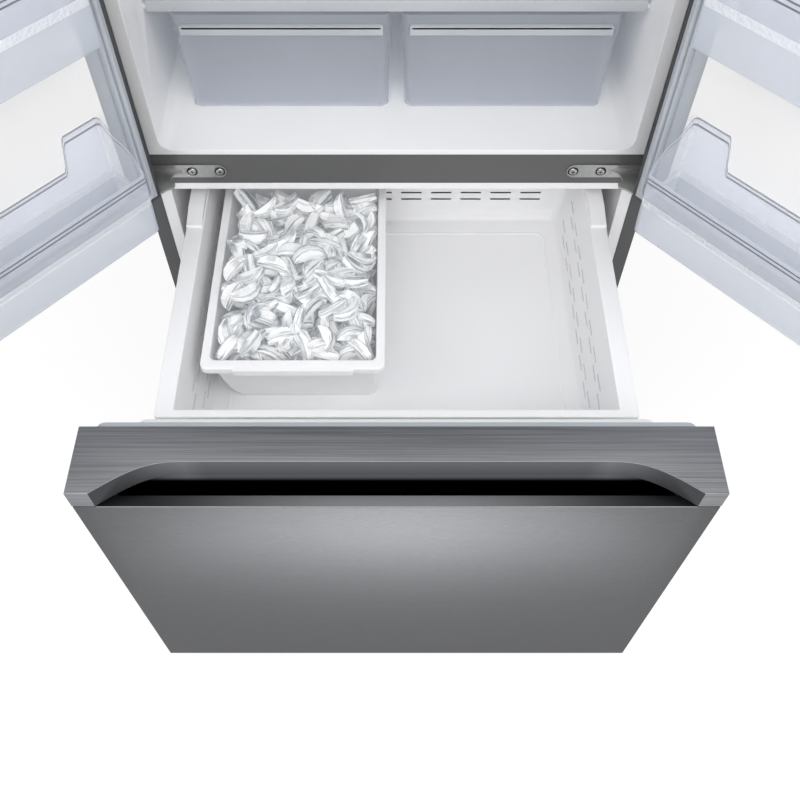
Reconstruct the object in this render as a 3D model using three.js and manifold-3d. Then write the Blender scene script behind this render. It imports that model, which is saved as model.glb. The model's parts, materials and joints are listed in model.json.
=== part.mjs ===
// Bottom freezer refrigerator with two French doors and one freezer drawer, in millimetres, +Z up.
// X = 0 is the plane of symmetry and Z = 0 the floor. Pieces are written with Y = 0 at the front
// plane of the cabinet and Y growing to the rear; the last lines move that plane so that the origin
// is under the middle of the object as it stands with its drawer pulled out.
import * as THREE from "three";
import { mergeVertices } from "three/addons/utils/BufferGeometryUtils.js";
import Module from "manifold-3d";

const wasm = await Module();
wasm.setup();

// ---------------------------------------------------------------- driving dimensions
const caseHalfWidth = 451;
const caseDepth = 762;
const caseTop = 1756;
const skin = 1.2; // sheet metal
const wall = 2; // moulded liner sheet
const fit = 0.3; // gap between pieces that touch
const past = 1; // how far a cutting solid reaches past the face it opens
const flangeWidth = 26.5; // front return of the outer wrapper
const foamRear = 53; // insulation behind the compartments
const foamSide = 48; // case side to the compartments
const foamTop = 56;

const doorOverhang = 3; // door edge past the case side
const doorThickness = 108;
const doorGap = 10; // door's inner face to the cabinet's front plane
const centreHalfGap = 3; // half the gap between the French doors
const doorOpenDegrees = 132.2;
const hingeAxisFromEdge = 13.6;
const hingeAxisInset = 43.4; // from the door's inner face forward to the hinge axis
const hingePinRadius = 6;
const pinClearance = 0.4;
const plateauInner = 3; // the French door's raised liner reaches this far past the front plane
const plateauFree = 62;
const plateauInset = 7;
const gripFront = 8; // skin left in front of the finger groove
const gripDepth = 34;
const gripHeight = 32;
const gripInnerX = 60;
const gripOuterX = 400;
const bushDepth = 24;

const drawerBottom = 60;
const drawerTop = 752;
const capHeight = 39;
const drawerTravel = 513;
const doorDrawerGap = 12; // from the drawer's top up to the French doors
const ceilingUnderDrawerTop = 7;
const plateauSideGap = 14;
const plateauTopGap = 2.8;
const plateauFloorGap = 8;
const plateauCorner = 20;
const drawerPlateauDepth = 40;
const capWall = 3;
const hemGap = 2; // from the drawer's skin back to its inner face
const lipDepth = 20;
const lipDrop = 26;
const pocketMouth = 421.4; // half length of the grip pocket at the front edge
const pocketDepth = 50;
const pocketBend = 34;
const pocketSlope = 46;
const pocketTurn = 71;
const pocketEnd = 121;
const pocketTubInset = 56;
const pocketDrop = 35;

const openingCornerRadius = 22;
const freezerLipDepth = 32;
const freezerLipDrop = 32.7; // mouth of the freezer below its ceiling
const mullionHeight = 56; // ceiling of the freezer to the floor of the fresh food space
const railDrop = 18.5; // lower edge of the dark rail below the freezer's ceiling
const railHeight = 63.8;
const freezerSill = 45; // freezer floor above the drawer's lower edge
const machineStep = 45; // freezer's step in front of the machine compartment and above it

const machineLength = 242;
const machineTop = 290;
const machineFloor = 40;
const coverInset = 3;
const coverRecess = 4;
const coverSheet = 2;
const coverSlotRise = 50;
const coverSlotPitch = 34;
const coverSlotHeight = 10;
const coverBar = 20;
const inletRadius = 13; // gland of the power cord
const inletInset = 60;
const inletDrop = 22;
const toeFront = 20;
const toeSheet = 4;
const toeInset = 11;
const toeBottom = 12;
const toeColumns = 5;
const toeBar = 12;
const toeSlotPitch = 11;
const toeSlotHeight = 5;

const compressorRadius = 95;
const compressorFlange = 7;
const compressorSeam = 96;
const compressorShoulder = 140;
const compressorTaper = 11;
const compressorCrown = 52;
const compressorHeight = 172;
const compressorInset = 199.5;
const compressorFromRear = 122;
const compressorFootX = 96;
const compressorFootY = 66;
const compressorPadRadius = 14;
const compressorPad = 10;
const compressorPlate = 4;
const condenserInset = 39.5;
const condenserFromRear = 32;
const condenserLength = 165;
const condenserHeadroom = 44;
const condenserPlate = 3;
const condenserPlateGap = 25;
const condenserStrip = 8;
const condenserFins = 16;
const condenserFinHalf = 1.5;
const condenserTipGap = 15;
const condenserTrayPast = 30;
const condenserPin = 42;
const condenserFanFromSide = 234.5;
const condenserFanGap = 26;
const condenserFanFromRear = 117;
const condenserFanRise = 110;
const condenserFanRadius = 68;
const condenserHubRadius = 18;
const condenserHubDepth = 22;
const fanClearance = 6;
const fanBlades = 5;
const bladeSheet = 2;
const bladeRoot = 3;
const bladeOverHub = 1.6; // depth of a blade over that of the hub
const spokeHalf = 4;
const evaporatorFromRear = 43.8;
const evaporatorSheet = 3;
const evaporatorFanDrop = 95; // under the freezer's ceiling
const evaporatorFanRadius = 52;
const evaporatorFanBehind = 16;
const evaporatorHubDepth = 14;
const evaporatorPin = 26;
const evaporatorSideGap = 103;
const evaporatorFins = 40;
const evaporatorFinHalf = 0.8;
const evaporatorStrip = 4;
const evaporatorRise = 50;
const evaporatorHeight = 175;
const returnCount = 3;
const returnHalf = 60;
const returnRise = 25;
const returnHeight = 8;
const iceMakerHeight = 51.7;
const iceMakerPast = 10;
const iceMakerCorner = 8;
const iceMakerFront = 160;
const iceMakerRearGap = 107.8;
const mouldEdge = 20;
const mouldDepth = 14;
const mouldStart = 30;
const mouldRearGap = 187.8;

const footHeight = 58; // floor to the underside of the base tray's front
const footInset = 51; // from the case side
const footY = 60;
const footPadRadius = 21;
const footPadHeight = 8;
const footNutRadius = 11;
const footNutHeight = 12;
const footStemRadius = 5;
const rollerRadius = 18;
const rollerSideGap = 1;
const axleRadius = 4;
const traySheet = 1.5;
const trayLip = 4.5;
const trayLipHeight = 19.5;
const earSheet = 4;
const earHalfLength = 16;
const earBelowAxle = 8;
const earGap = 22; // between the two ears of a roller
const rollerFromRear = 62;

const gasketWidth = 18;
const gasketEdge = 12; // door edge to gasket
const gasketCorner = 6;
const drawerGasketEdge = 15;
const drawerGasketTopEdge = 10.2; // clears the straps of the lower hinges
const hemWidth = 5; // the doors' skin folds in over the liner
const gasketThickness = 9.2;

const binDrop = 75.4; // rim of the upper freezer bin under the top of its drawer
const binSideGap = 28; // bin to the freezer's side, for the slides
const binRimWidth = 30;
const binDepth = 148.6;
const binSideDraft = 23;
const binWall = 2.5;
const binFront = 53.3;
const binFrontRim = 14;
const binRearRim = 13;
const binRearGap = 49.8; // bin to the freezer's rear wall
const binFrontDraft = 22.7;
const binRearDraft = 23;
const binCorner = 22;
const binFrontCorner = 5;
const binShoulderRise = 11;
const binShoulderLength = 204;
const binShoulderRun = 42;
const wingFrontGap = 46.7;
const wingRearGap = 58;
const slotLength = 40;
const slotHeight = 3.5;
const slotsPerRow = 10;
const slotMargin = 28; // bin corner to the pattern of slots
const slotRise = 48; // first row above the bin's floor
const slotRowPitch = 15;

const bucketBelowRim = 19; // rim of the ice bucket under the bin's rim
const bucketSideGap = 25; // bucket to the mouth of the bin
const bucketFromCentre = 19;
const bucketFromFront = 103.7; // bucket to the front of the bin
const bucketFromRear = 45;
const bucketRim = 12;
const bucketFrontRim = 16;
const bucketDraft = 6;
const bucketSkirt = 12;
const bucketCorner = 12;
const bucketCurve = 26; // how far the lower left edge curves in
const iceRise = 28.4; // top of the ice over the rim of the bucket
const heapGap = 3;
const heapLeftGap = 9;
const heapEdgeDrop = 14;
const heapLump = 9;

const slideBottom = 350;
const slideHeight = 45;
const slideStart = 14;
const slideFromRear = 202;
const slideShort = 14; // the middle member is shorter than the inner one
const slideLong = 26; // the outer one is longer
const slideMemberWidths = [4, 7, 7]; // outer, middle, inner
const slideMemberGap = 0.4;
const slideSheet = 3;
const slideFoot = 44;
const slideFootMargin = 8;
const slideFrameStart = 30;
const slideShelf = 20;
const wingRise = 68; // bin floor up to the ledge that carries the upper bin

const lowerBinRise = 13;
const lowerBinTopGap = 13; // under the upper bin's floor
const lowerBinFront = 40;
const lowerBinRearGap = 13;
const lowerBinSideGap = 43;
const lowerBinSideDraft = 15;
const lowerBinDraft = 6;
const lowerBinCorner = 26;
const ledgeFrontGap = 26;
const ledgeRearGap = 30;

const doorBinRise = 5; // lowest door bin above the compartment's floor
const doorBinHeight = 119;
const doorBinFront = 98; // from the cabinet's front plane
const doorBinHingeGap = 22; // end of a door bin to the compartment's side
const doorBinFreeGap = 63; // end of a door bin to the door's free edge
const doorBinWall = 2.5;
const doorBinPitch = 330;
const doorBinCorner = 5;
const doorBinFrontDraft = 7;
const binEarRise = 56; // top of a door bin's ear over its rim
const binEarShoulder = 40;
const binEarSweep = 60;
const binEarBack = 8;
const binEarReturn = 66;

const flapWidth = 76;
const flapThickness = 16;
const flapPivotFromEdge = 43; // door's free edge to the flap's pivot
const flapPivotInset = 2;
const flapPivotY = 4;
const flapFaceGap = 4;
const flapEndGap = 17;
const flapLugHeight = 11;
const flapLugLength = 12;

const crisperHalfGap = 8;
const crisperSideGap = 37;
const crisperFront = 108;
const crisperRearGap = 147.8;
const crisperHeight = 182;
const crisperWall = 3;
const crisperDraft = 6;
const crisperCorner = 14;
const crisperCoverGap = 18;
const pullDepth = 18;
const pullInset = 10;
const shelfDrops = [510, 260]; // under the fresh food ceiling
const shelfThickness = 6;
const shelfFront = 110;
const shelfRearGap = 67.8;
const shelfSideGap = 2;
const shelfCorner = 6;
const ledgeWidth = 12;
const ledgeHeight = 8;
const ductHalfWidth = 130;
const ductDepth = 12;
const ductRise = 60; // over the crispers
const ductDrop = 40;

const hingePlate = 4;
const hingeStrap = 2.7;
const hingePlateUnderDoor = 10;
const hingeFromCaseSide = 3;
const strapLength = 151.2;
const strapUnderDoor = 21.6;
const strapHeight = 27.2;
const plateLength = 57; // from its outer end in to its tab
const plateCorner = 20;
const tabReach = 9;
const tabFront = 19.4; // hinge axis to the tab's rear corner
const tabLength = 9;
const tabSlope = 7;
const tabChamfer = 4;
const hingeFillet = 2;
const plateNeck = 30;
const plateNose = 11; // hinge axis to the plate's front edge
const screwsFromEnd = [59.6, 11.3]; // from the strap's rounded end
const screwUnderDoor = 8;
const screwHeadRadius = 6;
const screwHeadHeight = 3.2;
const screwShankRadius = 2;
const screwLength = 6;
const pinEngagement = 22;

const topPlateHalf = 29;
const topPlateRear = 76;
const topPlateInner = 20;
const topPlateFront = 14;
const topPlateCorner = 8;
const topPlateSheet = 3;
const topCoverHeight = 18.4;
const topCoverMargin = 2;

// ---------------------------------------------------------------- values that follow
const doorHalfWidth = caseHalfWidth + doorOverhang;
const openingHalfWidth = caseHalfWidth - foamSide;
const hingeAxisX = doorHalfWidth - hingeAxisFromEdge;
const doorInner = -doorGap;
const doorOuter = doorInner - doorThickness;
const hingeAxisY = doorInner - hingeAxisInset;
const doorBottom = drawerTop + doorDrawerGap;
const doorTop = caseTop;
const capBottom = drawerTop - capHeight;
const freezerFloor = drawerBottom + freezerSill;
const freezerCeiling = drawerTop - ceilingUnderDrawerTop;
const freezerOpeningTop = freezerCeiling - freezerLipDrop;
const railBottom = freezerCeiling - railDrop;
const railTop = railBottom + railHeight;
const freshFloor = freezerCeiling + mullionHeight;
const freshCeiling = caseTop - foamTop;
const linerHalfWidth = openingHalfWidth + wall;
const trayHalf = caseHalfWidth - skin - fit;
const trayLipTop = footHeight + trayLipHeight;
const machineInside = machineFloor + traySheet + fit;
const condenserFanX = condenserFanFromSide - trayHalf;
const condenserFanY = caseDepth - condenserFanFromRear;
const condenserFanZ = machineFloor + condenserFanRise;
const evaporatorFanZ = freezerCeiling - evaporatorFanDrop;
const linerRear = caseDepth - foamRear - skin;
const evaporatorCoverFront = linerRear - evaporatorFromRear;
const flangeHalfWidth = caseHalfWidth - flangeWidth - fit;
const machineFront = caseDepth - machineLength;
const lowerFreezerDepth = machineFront - machineStep;
const lowerFreezerStep = machineTop + machineStep;
const footX = caseHalfWidth - footInset;
const rollerX = footX;
const rollerY = caseDepth - rollerFromRear;
const pocketHalfWidth = doorHalfWidth - pocketTubInset;
const pocketFloor = capBottom - pocketDrop;
const pocketRear = doorOuter + pocketDepth;
const skinTop = doorTop - 2 * fit;
const plateauHinge = openingHalfWidth - plateauInset;
const flapPivotX = centreHalfGap + flapPivotFromEdge;
const flapLow = freshFloor + flapEndGap;
const flapHigh = freshCeiling - flapEndGap;
const slideLength = caseDepth - slideFromRear;
const slideOuterX = openingHalfWidth - fit;
const slideMiddleX = slideOuterX - slideMemberWidths[0] - slideMemberGap;
const slideInnerX = slideMiddleX - slideMemberWidths[1] - slideMemberGap;
const slideTop = slideBottom + slideHeight;
const drawerPlateauHalfWidth = openingHalfWidth - plateauSideGap;
const drawerPlateauTop = freezerOpeningTop - plateauTopGap;
const drawerPlateauRear = doorInner + drawerPlateauDepth;
const binRimTop = drawerTop - binDrop;
const binHalfWidth = openingHalfWidth - binSideGap;
const binMouthHalf = binHalfWidth - binRimWidth;
const binFloor = binRimTop - binDepth;
const binFloorHalfWidth = binMouthHalf - binSideDraft;
const binRear = linerRear - binRearGap;
const binRearInner = binRear - binRearRim;
const binFrontInner = binFront + binFrontRim;
const binFloorFront = binFrontInner + binFrontDraft;
const binFloorRear = binRearInner - binRearDraft;
const binShoulderStart = binRear - binShoulderLength;
const binShoulderInner = binMouthHalf + wall;
const binWingLevel = binFloor + wingRise;
const lowerBinFloor = freezerFloor + lowerBinRise;
const lowerBinTop = binFloor - lowerBinTopGap;
const lowerBinRear = lowerFreezerDepth - lowerBinRearGap;
const lowerBinHalfWidth = openingHalfWidth - lowerBinSideGap;
const bucketRimTop = binRimTop - bucketBelowRim;
const bucketLeft = bucketSideGap - binMouthHalf;
const bucketRight = -bucketFromCentre;
const bucketFront = binFront + bucketFromFront;
const bucketRear = binRear - bucketFromRear;
const iceTop = bucketRimTop + iceRise;
const doorBinBottom = freshFloor + doorBinRise;
const doorBinHingeEnd = openingHalfWidth - doorBinHingeGap;
const doorBinFreeEnd = centreHalfGap + doorBinFreeGap;
const crisperOuter = openingHalfWidth - crisperSideGap;
const crisperRear = linerRear - crisperRearGap;
const crisperCoverLevel = freshFloor + crisperHeight + crisperCoverGap;
const shelfRear = linerRear - shelfRearGap;
const shelfLevels = shelfDrops.map((drop) => freshCeiling - drop);
const bracketPlateBottom = doorBottom - hingePlateUnderDoor;
const bracketOuterX = caseHalfWidth - hingeFromCaseSide;
const bracketInnerX = bracketOuterX - plateLength;
const bracketFlangeEnd = bracketOuterX - strapLength;
const bracketFlangeBottom = doorBottom - strapUnderDoor;
const bracketFlangeTop = bracketFlangeBottom + strapHeight;
const screwPositions = screwsFromEnd.map((distance) => bracketFlangeEnd + distance);
const screwZ = doorBottom - screwUnderDoor;
const middleY = (caseDepth + doorOuter - drawerTravel) / 2;

const colours = {
  darkSteel: [0x808284, 0.35, 1],
  capSteel: [0x74777a, 0.35, 1],
  paintedGrey: [0x4c4e50, 0.5, 0.6],
  railGrey: [0x656565, 0.5, 0.6],
  zinc: [0x9a9a98, 0.35, 1],
  galvanised: [0xa4a8aa, 0.5, 1],
  white: [0xe6e6e8, 0.4, 0],
  door: [0xdfdedb, 0.4, 0],
  bin: [0xd5dae6, 0.2, 0],
  gasket: [0xb9bec0, 0.7, 0],
  foam: [0xe8dcb4, 0.9, 0],
  ice: [0xf5f8fa, 0.1, 0],
  glass: [0xd8e6e4, 0.05, 0],
  black: [0x1c1d1f, 0.6, 0],
  aluminium: [0xb8bcc0, 0.4, 1],
};

// ---------------------------------------------------------------- solids
// A closed solid from a geometry, ready to be joined or cut.
function solidOf(geometry) {
  const bare = geometry.index ? geometry.toNonIndexed() : geometry.clone();
  bare.deleteAttribute("normal");
  bare.deleteAttribute("uv");
  const merged = mergeVertices(bare, 1e-3);
  return new wasm.Manifold(
    new wasm.Mesh({
      numProp: 3,
      vertProperties: merged.attributes.position.array,
      triVerts: new Uint32Array(merged.index.array),
    }),
  );
}

function geometryOf(solid) {
  const mesh = solid.getMesh();
  const positions = new Float32Array(mesh.numVert * 3);
  for (let i = 0; i < mesh.numVert; i++) {
    const start = i * mesh.numProp;
    positions.set(mesh.vertProperties.subarray(start, start + 3), i * 3);
  }
  return new THREE.BufferGeometry()
    .setAttribute("position", new THREE.BufferAttribute(positions, 3))
    .setIndex(new THREE.BufferAttribute(mesh.triVerts, 1));
}

function join(...geometries) {
  return geometryOf(geometries.map(solidOf).reduce((a, b) => a.add(b)));
}

function cut(from, ...tools) {
  return geometryOf(tools.map(solidOf).reduce((a, b) => a.subtract(b), solidOf(from)));
}

// The same piece for the other side of the plane X = 0.
function mirrored(geometry) {
  const other = geometryOf(solidOf(geometry)).scale(-1, 1, 1);
  const index = other.index.array;
  for (let i = 0; i < index.length; i += 3) {
    [index[i + 1], index[i + 2]] = [index[i + 2], index[i + 1]];
  }
  return other;
}

function slab(x0, x1, y0, y1, z0, z1) {
  return new THREE.BoxGeometry(x1 - x0, y1 - y0, z1 - z0).translate(
    (x0 + x1) / 2,
    (y0 + y1) / 2,
    (z0 + z1) / 2,
  );
}

function cylinder(axis, radius, x, y, z, length, sides = 24) {
  const made = new THREE.CylinderGeometry(radius, radius, length, sides);
  if (axis === "x") made.rotateZ(Math.PI / 2);
  if (axis === "z") made.rotateX(Math.PI / 2);
  return made.translate(x, y, z);
}

function roundedRectangle(x0, x1, y0, y1, radius) {
  const quarter = Math.PI / 2;
  return new THREE.Shape()
    .absarc(x1 - radius, y0 + radius, radius, -quarter, 0)
    .absarc(x1 - radius, y1 - radius, radius, 0, quarter)
    .absarc(x0 + radius, y1 - radius, radius, quarter, 2 * quarter)
    .absarc(x0 + radius, y0 + radius, radius, 2 * quarter, 3 * quarter);
}

function polygon(points) {
  return new THREE.Shape(points.map(([a, b]) => new THREE.Vector2(a, b)));
}

function extruded(shape, depth, curveSegments) {
  return new THREE.ExtrudeGeometry(shape, { depth, curveSegments, bevelEnabled: false });
}

// A shape drawn in X and Y, from z0 up to z1.
function alongZ(shape, z0, z1, curveSegments = 2) {
  return extruded(shape, z1 - z0, curveSegments).translate(0, 0, z0);
}

// A shape drawn in X and Z, from y0 back to y1.
function alongY(shape, y0, y1, curveSegments = 2) {
  return extruded(shape, y1 - y0, curveSegments)
    .rotateX(Math.PI / 2)
    .translate(0, y1, 0);
}

// A shape drawn in Y and Z, from x0 to x1.
function alongX(shape, x0, x1, curveSegments = 2) {
  const turn = new THREE.Matrix4().makeBasis(
    new THREE.Vector3(0, 1, 0),
    new THREE.Vector3(0, 0, 1),
    new THREE.Vector3(1, 0, 0),
  );
  return extruded(shape, x1 - x0, curveSegments).applyMatrix4(turn).translate(x0, 0, 0);
}

// A level ring of points round a rectangle with rounded corners, four steps to a corner. The two
// corners at y0 can have their own radius.
function ring(x0, x1, y0, y1, radius, z, frontRadius = radius) {
  const perCorner = 4;
  const centres = [
    [x1 - frontRadius, y0 + frontRadius, -1, frontRadius],
    [x1 - radius, y1 - radius, 0, radius],
    [x0 + radius, y1 - radius, 1, radius],
    [x0 + frontRadius, y0 + frontRadius, 2, frontRadius],
  ];
  return centres.flatMap(([x, y, quarter, r]) =>
    Array.from({ length: perCorner + 1 }, (_, i) => {
      const angle = (quarter + i / perCorner) * (Math.PI / 2);
      return [x + r * Math.cos(angle), y + r * Math.sin(angle), z];
    }),
  );
}

// A closed solid through rings of equal point counts, from the lowest to the highest.
function loft(rings) {
  const count = rings[0].length;
  const positions = rings.flat(2);
  const index = [];
  for (let level = 0; level + 1 < rings.length; level++) {
    for (let i = 0; i < count; i++) {
      const a = level * count + i;
      const b = level * count + ((i + 1) % count);
      index.push(a, b, b + count, a, b + count, a + count);
    }
  }
  const top = (rings.length - 1) * count;
  for (let i = 1; i + 1 < count; i++) {
    index.push(0, i + 1, i, top, top + i, top + i + 1);
  }
  return new THREE.BufferGeometry()
    .setAttribute("position", new THREE.Float32BufferAttribute(positions, 3))
    .setIndex(index);
}

function meshOf(name, geometry, colour) {
  const [color, roughness, metalness] = colours[colour];
  const material = new THREE.MeshStandardMaterial({ color, roughness, metalness });
  const shaded = geometry.index ? geometry.toNonIndexed() : geometry;
  shaded.computeVertexNormals();
  const mesh = new THREE.Mesh(shaded, material);
  mesh.name = name;
  return mesh;
}

// ---------------------------------------------------------------- cabinet shell
function outerWrapper() {
  const half = caseHalfWidth;
  const bottom = machineFloor - fit;
  const outside = slab(-half, half, 0, caseDepth, bottom, caseTop);
  const inside = slab(-half + skin, half - skin, skin, caseDepth + past, bottom - past, caseTop - skin);
  const mouthHalf = half - flangeWidth;
  const mouthTop = caseTop - flangeWidth;
  const mouth = slab(-mouthHalf, mouthHalf, -past, skin + past, bottom - past, mouthTop);
  return cut(outside, inside, mouth);
}

function rearPanel() {
  const top = caseTop - skin - fit;
  return slab(-trayHalf, trayHalf, caseDepth - skin, caseDepth, machineTop + fit, top);
}

function rollerEars(side) {
  const top = machineFloor + traySheet;
  const low = rollerRadius - earBelowAxle;
  const ears = [-1, 1].map((end) => {
    const x = side * rollerX + (end * (earGap + earSheet)) / 2;
    const half = earSheet / 2;
    return slab(x - half, x + half, rollerY - earHalfLength, rollerY + earHalfLength, low, top);
  });
  const length = earGap + 2 * earSheet + 2 * past;
  const hole = cylinder("x", axleRadius + fit, side * rollerX, rollerY, rollerRadius, length);
  return cut(join(...ears), hole);
}

function baseTray() {
  const half = trayHalf;
  const sheetTop = footHeight + traySheet;
  const frontSheet = slab(-half, half, skin + fit, machineFront, footHeight, sheetTop);
  const frontLip = slab(-flangeHalfWidth, flangeHalfWidth, 0, trayLip, footHeight, trayLipTop);
  const stepRear = machineFront + traySheet;
  const step = slab(-half, half, machineFront, stepRear, machineFloor, machineTop);
  const roof = slab(-half, half, machineFront, caseDepth, machineTop - traySheet, machineTop);
  const floor = slab(-half, half, machineFront, caseDepth, machineFloor, machineFloor + traySheet);
  return join(frontSheet, frontLip, step, roof, floor, rollerEars(-1), rollerEars(1));
}

function cabinetFoam() {
  const half = trayHalf - fit;
  const wide = half + past;
  const back = caseDepth - skin - fit;
  const low = footHeight + traySheet + fit;
  const block = slab(-half, half, wall + fit, back, low, caseTop - skin - fit);
  const machine = slab(-wide, wide, machineFront - fit, back + past, 0, machineTop + fit);
  const lip = slab(-wide, wide, 0, trayLip + fit, 0, trayLipTop + fit);
  const linerHalf = linerHalfWidth + fit;
  const grown = wall + fit;
  const fresh = slab(
    -linerHalf, linerHalf, 0, linerRear + grown, freshFloor - grown, freshCeiling + grown,
  );
  const freezer = alongX(polygon(freezerProfile(grown)), -linerHalf, linerHalf);
  return cut(block, machine, lip, fresh, freezer);
}

// The freezer's section in Y and Z, grown by a margin all round except at its open front.
function freezerProfile(margin) {
  const front = margin > 0 ? 0 : -past;
  const lip = freezerLipDepth + (margin > 0 ? 0 : wall);
  return [
    [front, freezerFloor - margin],
    [lowerFreezerDepth + margin, freezerFloor - margin],
    [lowerFreezerDepth + margin, lowerFreezerStep - margin],
    [linerRear + margin, lowerFreezerStep - margin],
    [linerRear + margin, freezerCeiling + margin],
    [lip, freezerCeiling + margin],
    [lip, freezerOpeningTop + margin],
    [front, freezerOpeningTop + margin],
  ];
}

function freezerLiner() {
  const outer = alongX(polygon(freezerProfile(wall)), -linerHalfWidth, linerHalfWidth);
  const low = trayLipTop + fit;
  const flange = slab(-flangeHalfWidth, flangeHalfWidth, 0, wall, low, railBottom - fit);
  const inner = alongX(polygon(freezerProfile(0)), -openingHalfWidth, openingHalfWidth);
  return cut(join(outer, flange), inner);
}

function freshFoodLiner() {
  const rear = linerRear + wall;
  const outer = slab(
    -linerHalfWidth, linerHalfWidth, 0, rear, freshFloor - wall, freshCeiling + wall,
  );
  const flangeTop = caseTop - flangeWidth - fit;
  const flange = slab(-flangeHalfWidth, flangeHalfWidth, 0, wall, railTop + fit, flangeTop);
  const mouth = roundedRectangle(
    -openingHalfWidth, openingHalfWidth, freshFloor, freshCeiling, openingCornerRadius,
  );
  const inner = alongY(mouth, -past, linerRear, 3);
  const shell = cut(join(outer, flange), inner);
  const levels = [crisperCoverLevel, ...shelfLevels];
  const ledges = levels.flatMap((level) =>
    [-1, 1].map((side) => {
      const x = side * (openingHalfWidth - ledgeWidth / 2);
      const half = ledgeWidth / 2 + past;
      const high = level - fit;
      return slab(x - half, x + half, shelfFront, shelfRear, high - ledgeHeight, high);
    }),
  );
  const duct = slab(
    -ductHalfWidth, ductHalfWidth, linerRear - ductDepth, linerRear + past,
    freshFloor + crisperHeight + ductRise, freshCeiling - ductDrop,
  );
  return join(shell, duct, ...ledges);
}

function mullionRail() {
  return slab(-flangeHalfWidth, flangeHalfWidth, 0, wall, railBottom, railTop);
}

// ---------------------------------------------------------------- hinges
// Lower bracket on the right: a rounded strap on the rail, a plate forward to the door and its pin.
function lowerHinge() {
  const strapBack = -fit;
  const strapFront = strapBack - hingeStrap;
  const radius = strapHeight / 2;
  const roundX = bracketFlangeEnd + radius;
  const quarter = Math.PI / 2;
  const strapShape = new THREE.Shape()
    .moveTo(bracketOuterX, bracketFlangeBottom)
    .lineTo(bracketOuterX, bracketFlangeTop)
    .lineTo(roundX, bracketFlangeTop)
    .absarc(roundX, bracketFlangeBottom + radius, radius, quarter, 3 * quarter);
  const strap = alongY(strapShape, strapFront, strapBack, 4);
  const nose = hingeAxisY - plateNose;
  const tabRear = hingeAxisY + tabFront;
  const plateShape = new THREE.Shape()
    .moveTo(bracketOuterX, strapFront)
    .lineTo(bracketInnerX - plateCorner, strapFront)
    .quadraticCurveTo(
      bracketInnerX, strapFront - tabChamfer, bracketInnerX, strapFront - plateCorner - hingeFillet,
    )
    .lineTo(bracketInnerX, tabRear + tabChamfer)
    .lineTo(bracketInnerX - tabReach, tabRear)
    .lineTo(bracketInnerX - tabReach, tabRear - tabLength)
    .lineTo(bracketInnerX + tabChamfer, tabRear - tabLength - tabSlope)
    .lineTo(hingeAxisX - plateNeck, nose)
    .lineTo(bracketOuterX, nose);
  const plate = alongZ(plateShape, bracketPlateBottom, bracketPlateBottom + hingePlate, 4);
  const pinLow = bracketPlateBottom + past;
  const pinLength = doorBottom + pinEngagement - pinLow;
  const pinZ = pinLow + pinLength / 2;
  const pin = cylinder("z", hingePinRadius, hingeAxisX, hingeAxisY, pinZ, pinLength, 20);
  const holes = screwPositions.map((x) =>
    cylinder("y", screwShankRadius + pinClearance, x, 0, screwZ, 2 * screwLength, 12),
  );
  return cut(join(strap, plate, pin), ...holes);
}

function hingeScrew(side, x) {
  const face = -fit - hingeStrap;
  const headY = face - fit - screwHeadHeight / 2;
  const head = cylinder("y", screwHeadRadius, side * x, headY, screwZ, screwHeadHeight, 16);
  const shank = cylinder("y", screwShankRadius, side * x, face - past, screwZ, screwLength, 10);
  return join(head, shank);
}

function topHinge() {
  const low = caseTop + fit;
  const front = hingeAxisY - topPlateFront;
  const x0 = hingeAxisX - topPlateHalf - topPlateInner;
  const x1 = caseHalfWidth - topCoverMargin;
  const plateShape = roundedRectangle(x0, x1, front, topPlateRear, topPlateCorner);
  const plate = alongZ(plateShape, low, low + topPlateSheet);
  const pinZ = low + past - pinEngagement / 2;
  const pin = cylinder("z", hingePinRadius, hingeAxisX, hingeAxisY, pinZ, pinEngagement, 20);
  return join(plate, pin);
}

function topHingeCover() {
  const low = caseTop + 2 * fit + topPlateSheet;
  const high = low + topCoverHeight;
  const margin = topCoverMargin;
  const x0 = hingeAxisX - topPlateHalf - topPlateInner - margin;
  const x1 = caseHalfWidth - margin / 2;
  const y0 = hingeAxisY - topPlateFront - margin;
  const y1 = topPlateRear + margin;
  const corner = topPlateCorner + margin / 2;
  const outside = roundedRectangle(x0, x1, y0, y1, corner);
  const inside = roundedRectangle(x0 + wall, x1 - wall, y0 + wall, y1 - wall, corner - wall);
  return cut(alongZ(outside, low, high), alongZ(inside, low - past, high - wall));
}

// ---------------------------------------------------------------- feet, rollers and grilles
function levelingFoot(side) {
  const x = side * footX;
  const stemLow = footPadHeight / 2;
  const stemLength = footHeight - fit - stemLow;
  const nutZ = footPadHeight + footNutHeight / 2;
  return join(
    cylinder("z", footPadRadius, x, footY, footPadHeight / 2, footPadHeight, 28),
    cylinder("z", footNutRadius, x, footY, nutZ, footNutHeight, 6),
    cylinder("z", footStemRadius, x, footY, stemLow + stemLength / 2, stemLength, 16),
  );
}

function rearRoller(side) {
  const x = side * rollerX;
  const width = earGap - 2 * rollerSideGap;
  const axleLength = earGap + 2 * earSheet;
  return join(
    cylinder("x", rollerRadius, x, rollerY, rollerRadius, width, 32),
    cylinder("x", axleRadius, x, rollerY, rollerRadius, axleLength, 16),
  );
}

// Rows of level slots, five columns wide, through a panel that faces Y.
function grilleSlots(pitch, halfLength, y0, y1, levels, halfHeight) {
  return levels.flatMap((z) =>
    [-2, -1, 0, 1, 2].map((column) => {
      const x = column * pitch;
      return slab(x - halfLength, x + halfLength, y0 - past, y1 + past, z - halfHeight, z + halfHeight);
    }),
  );
}

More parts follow.
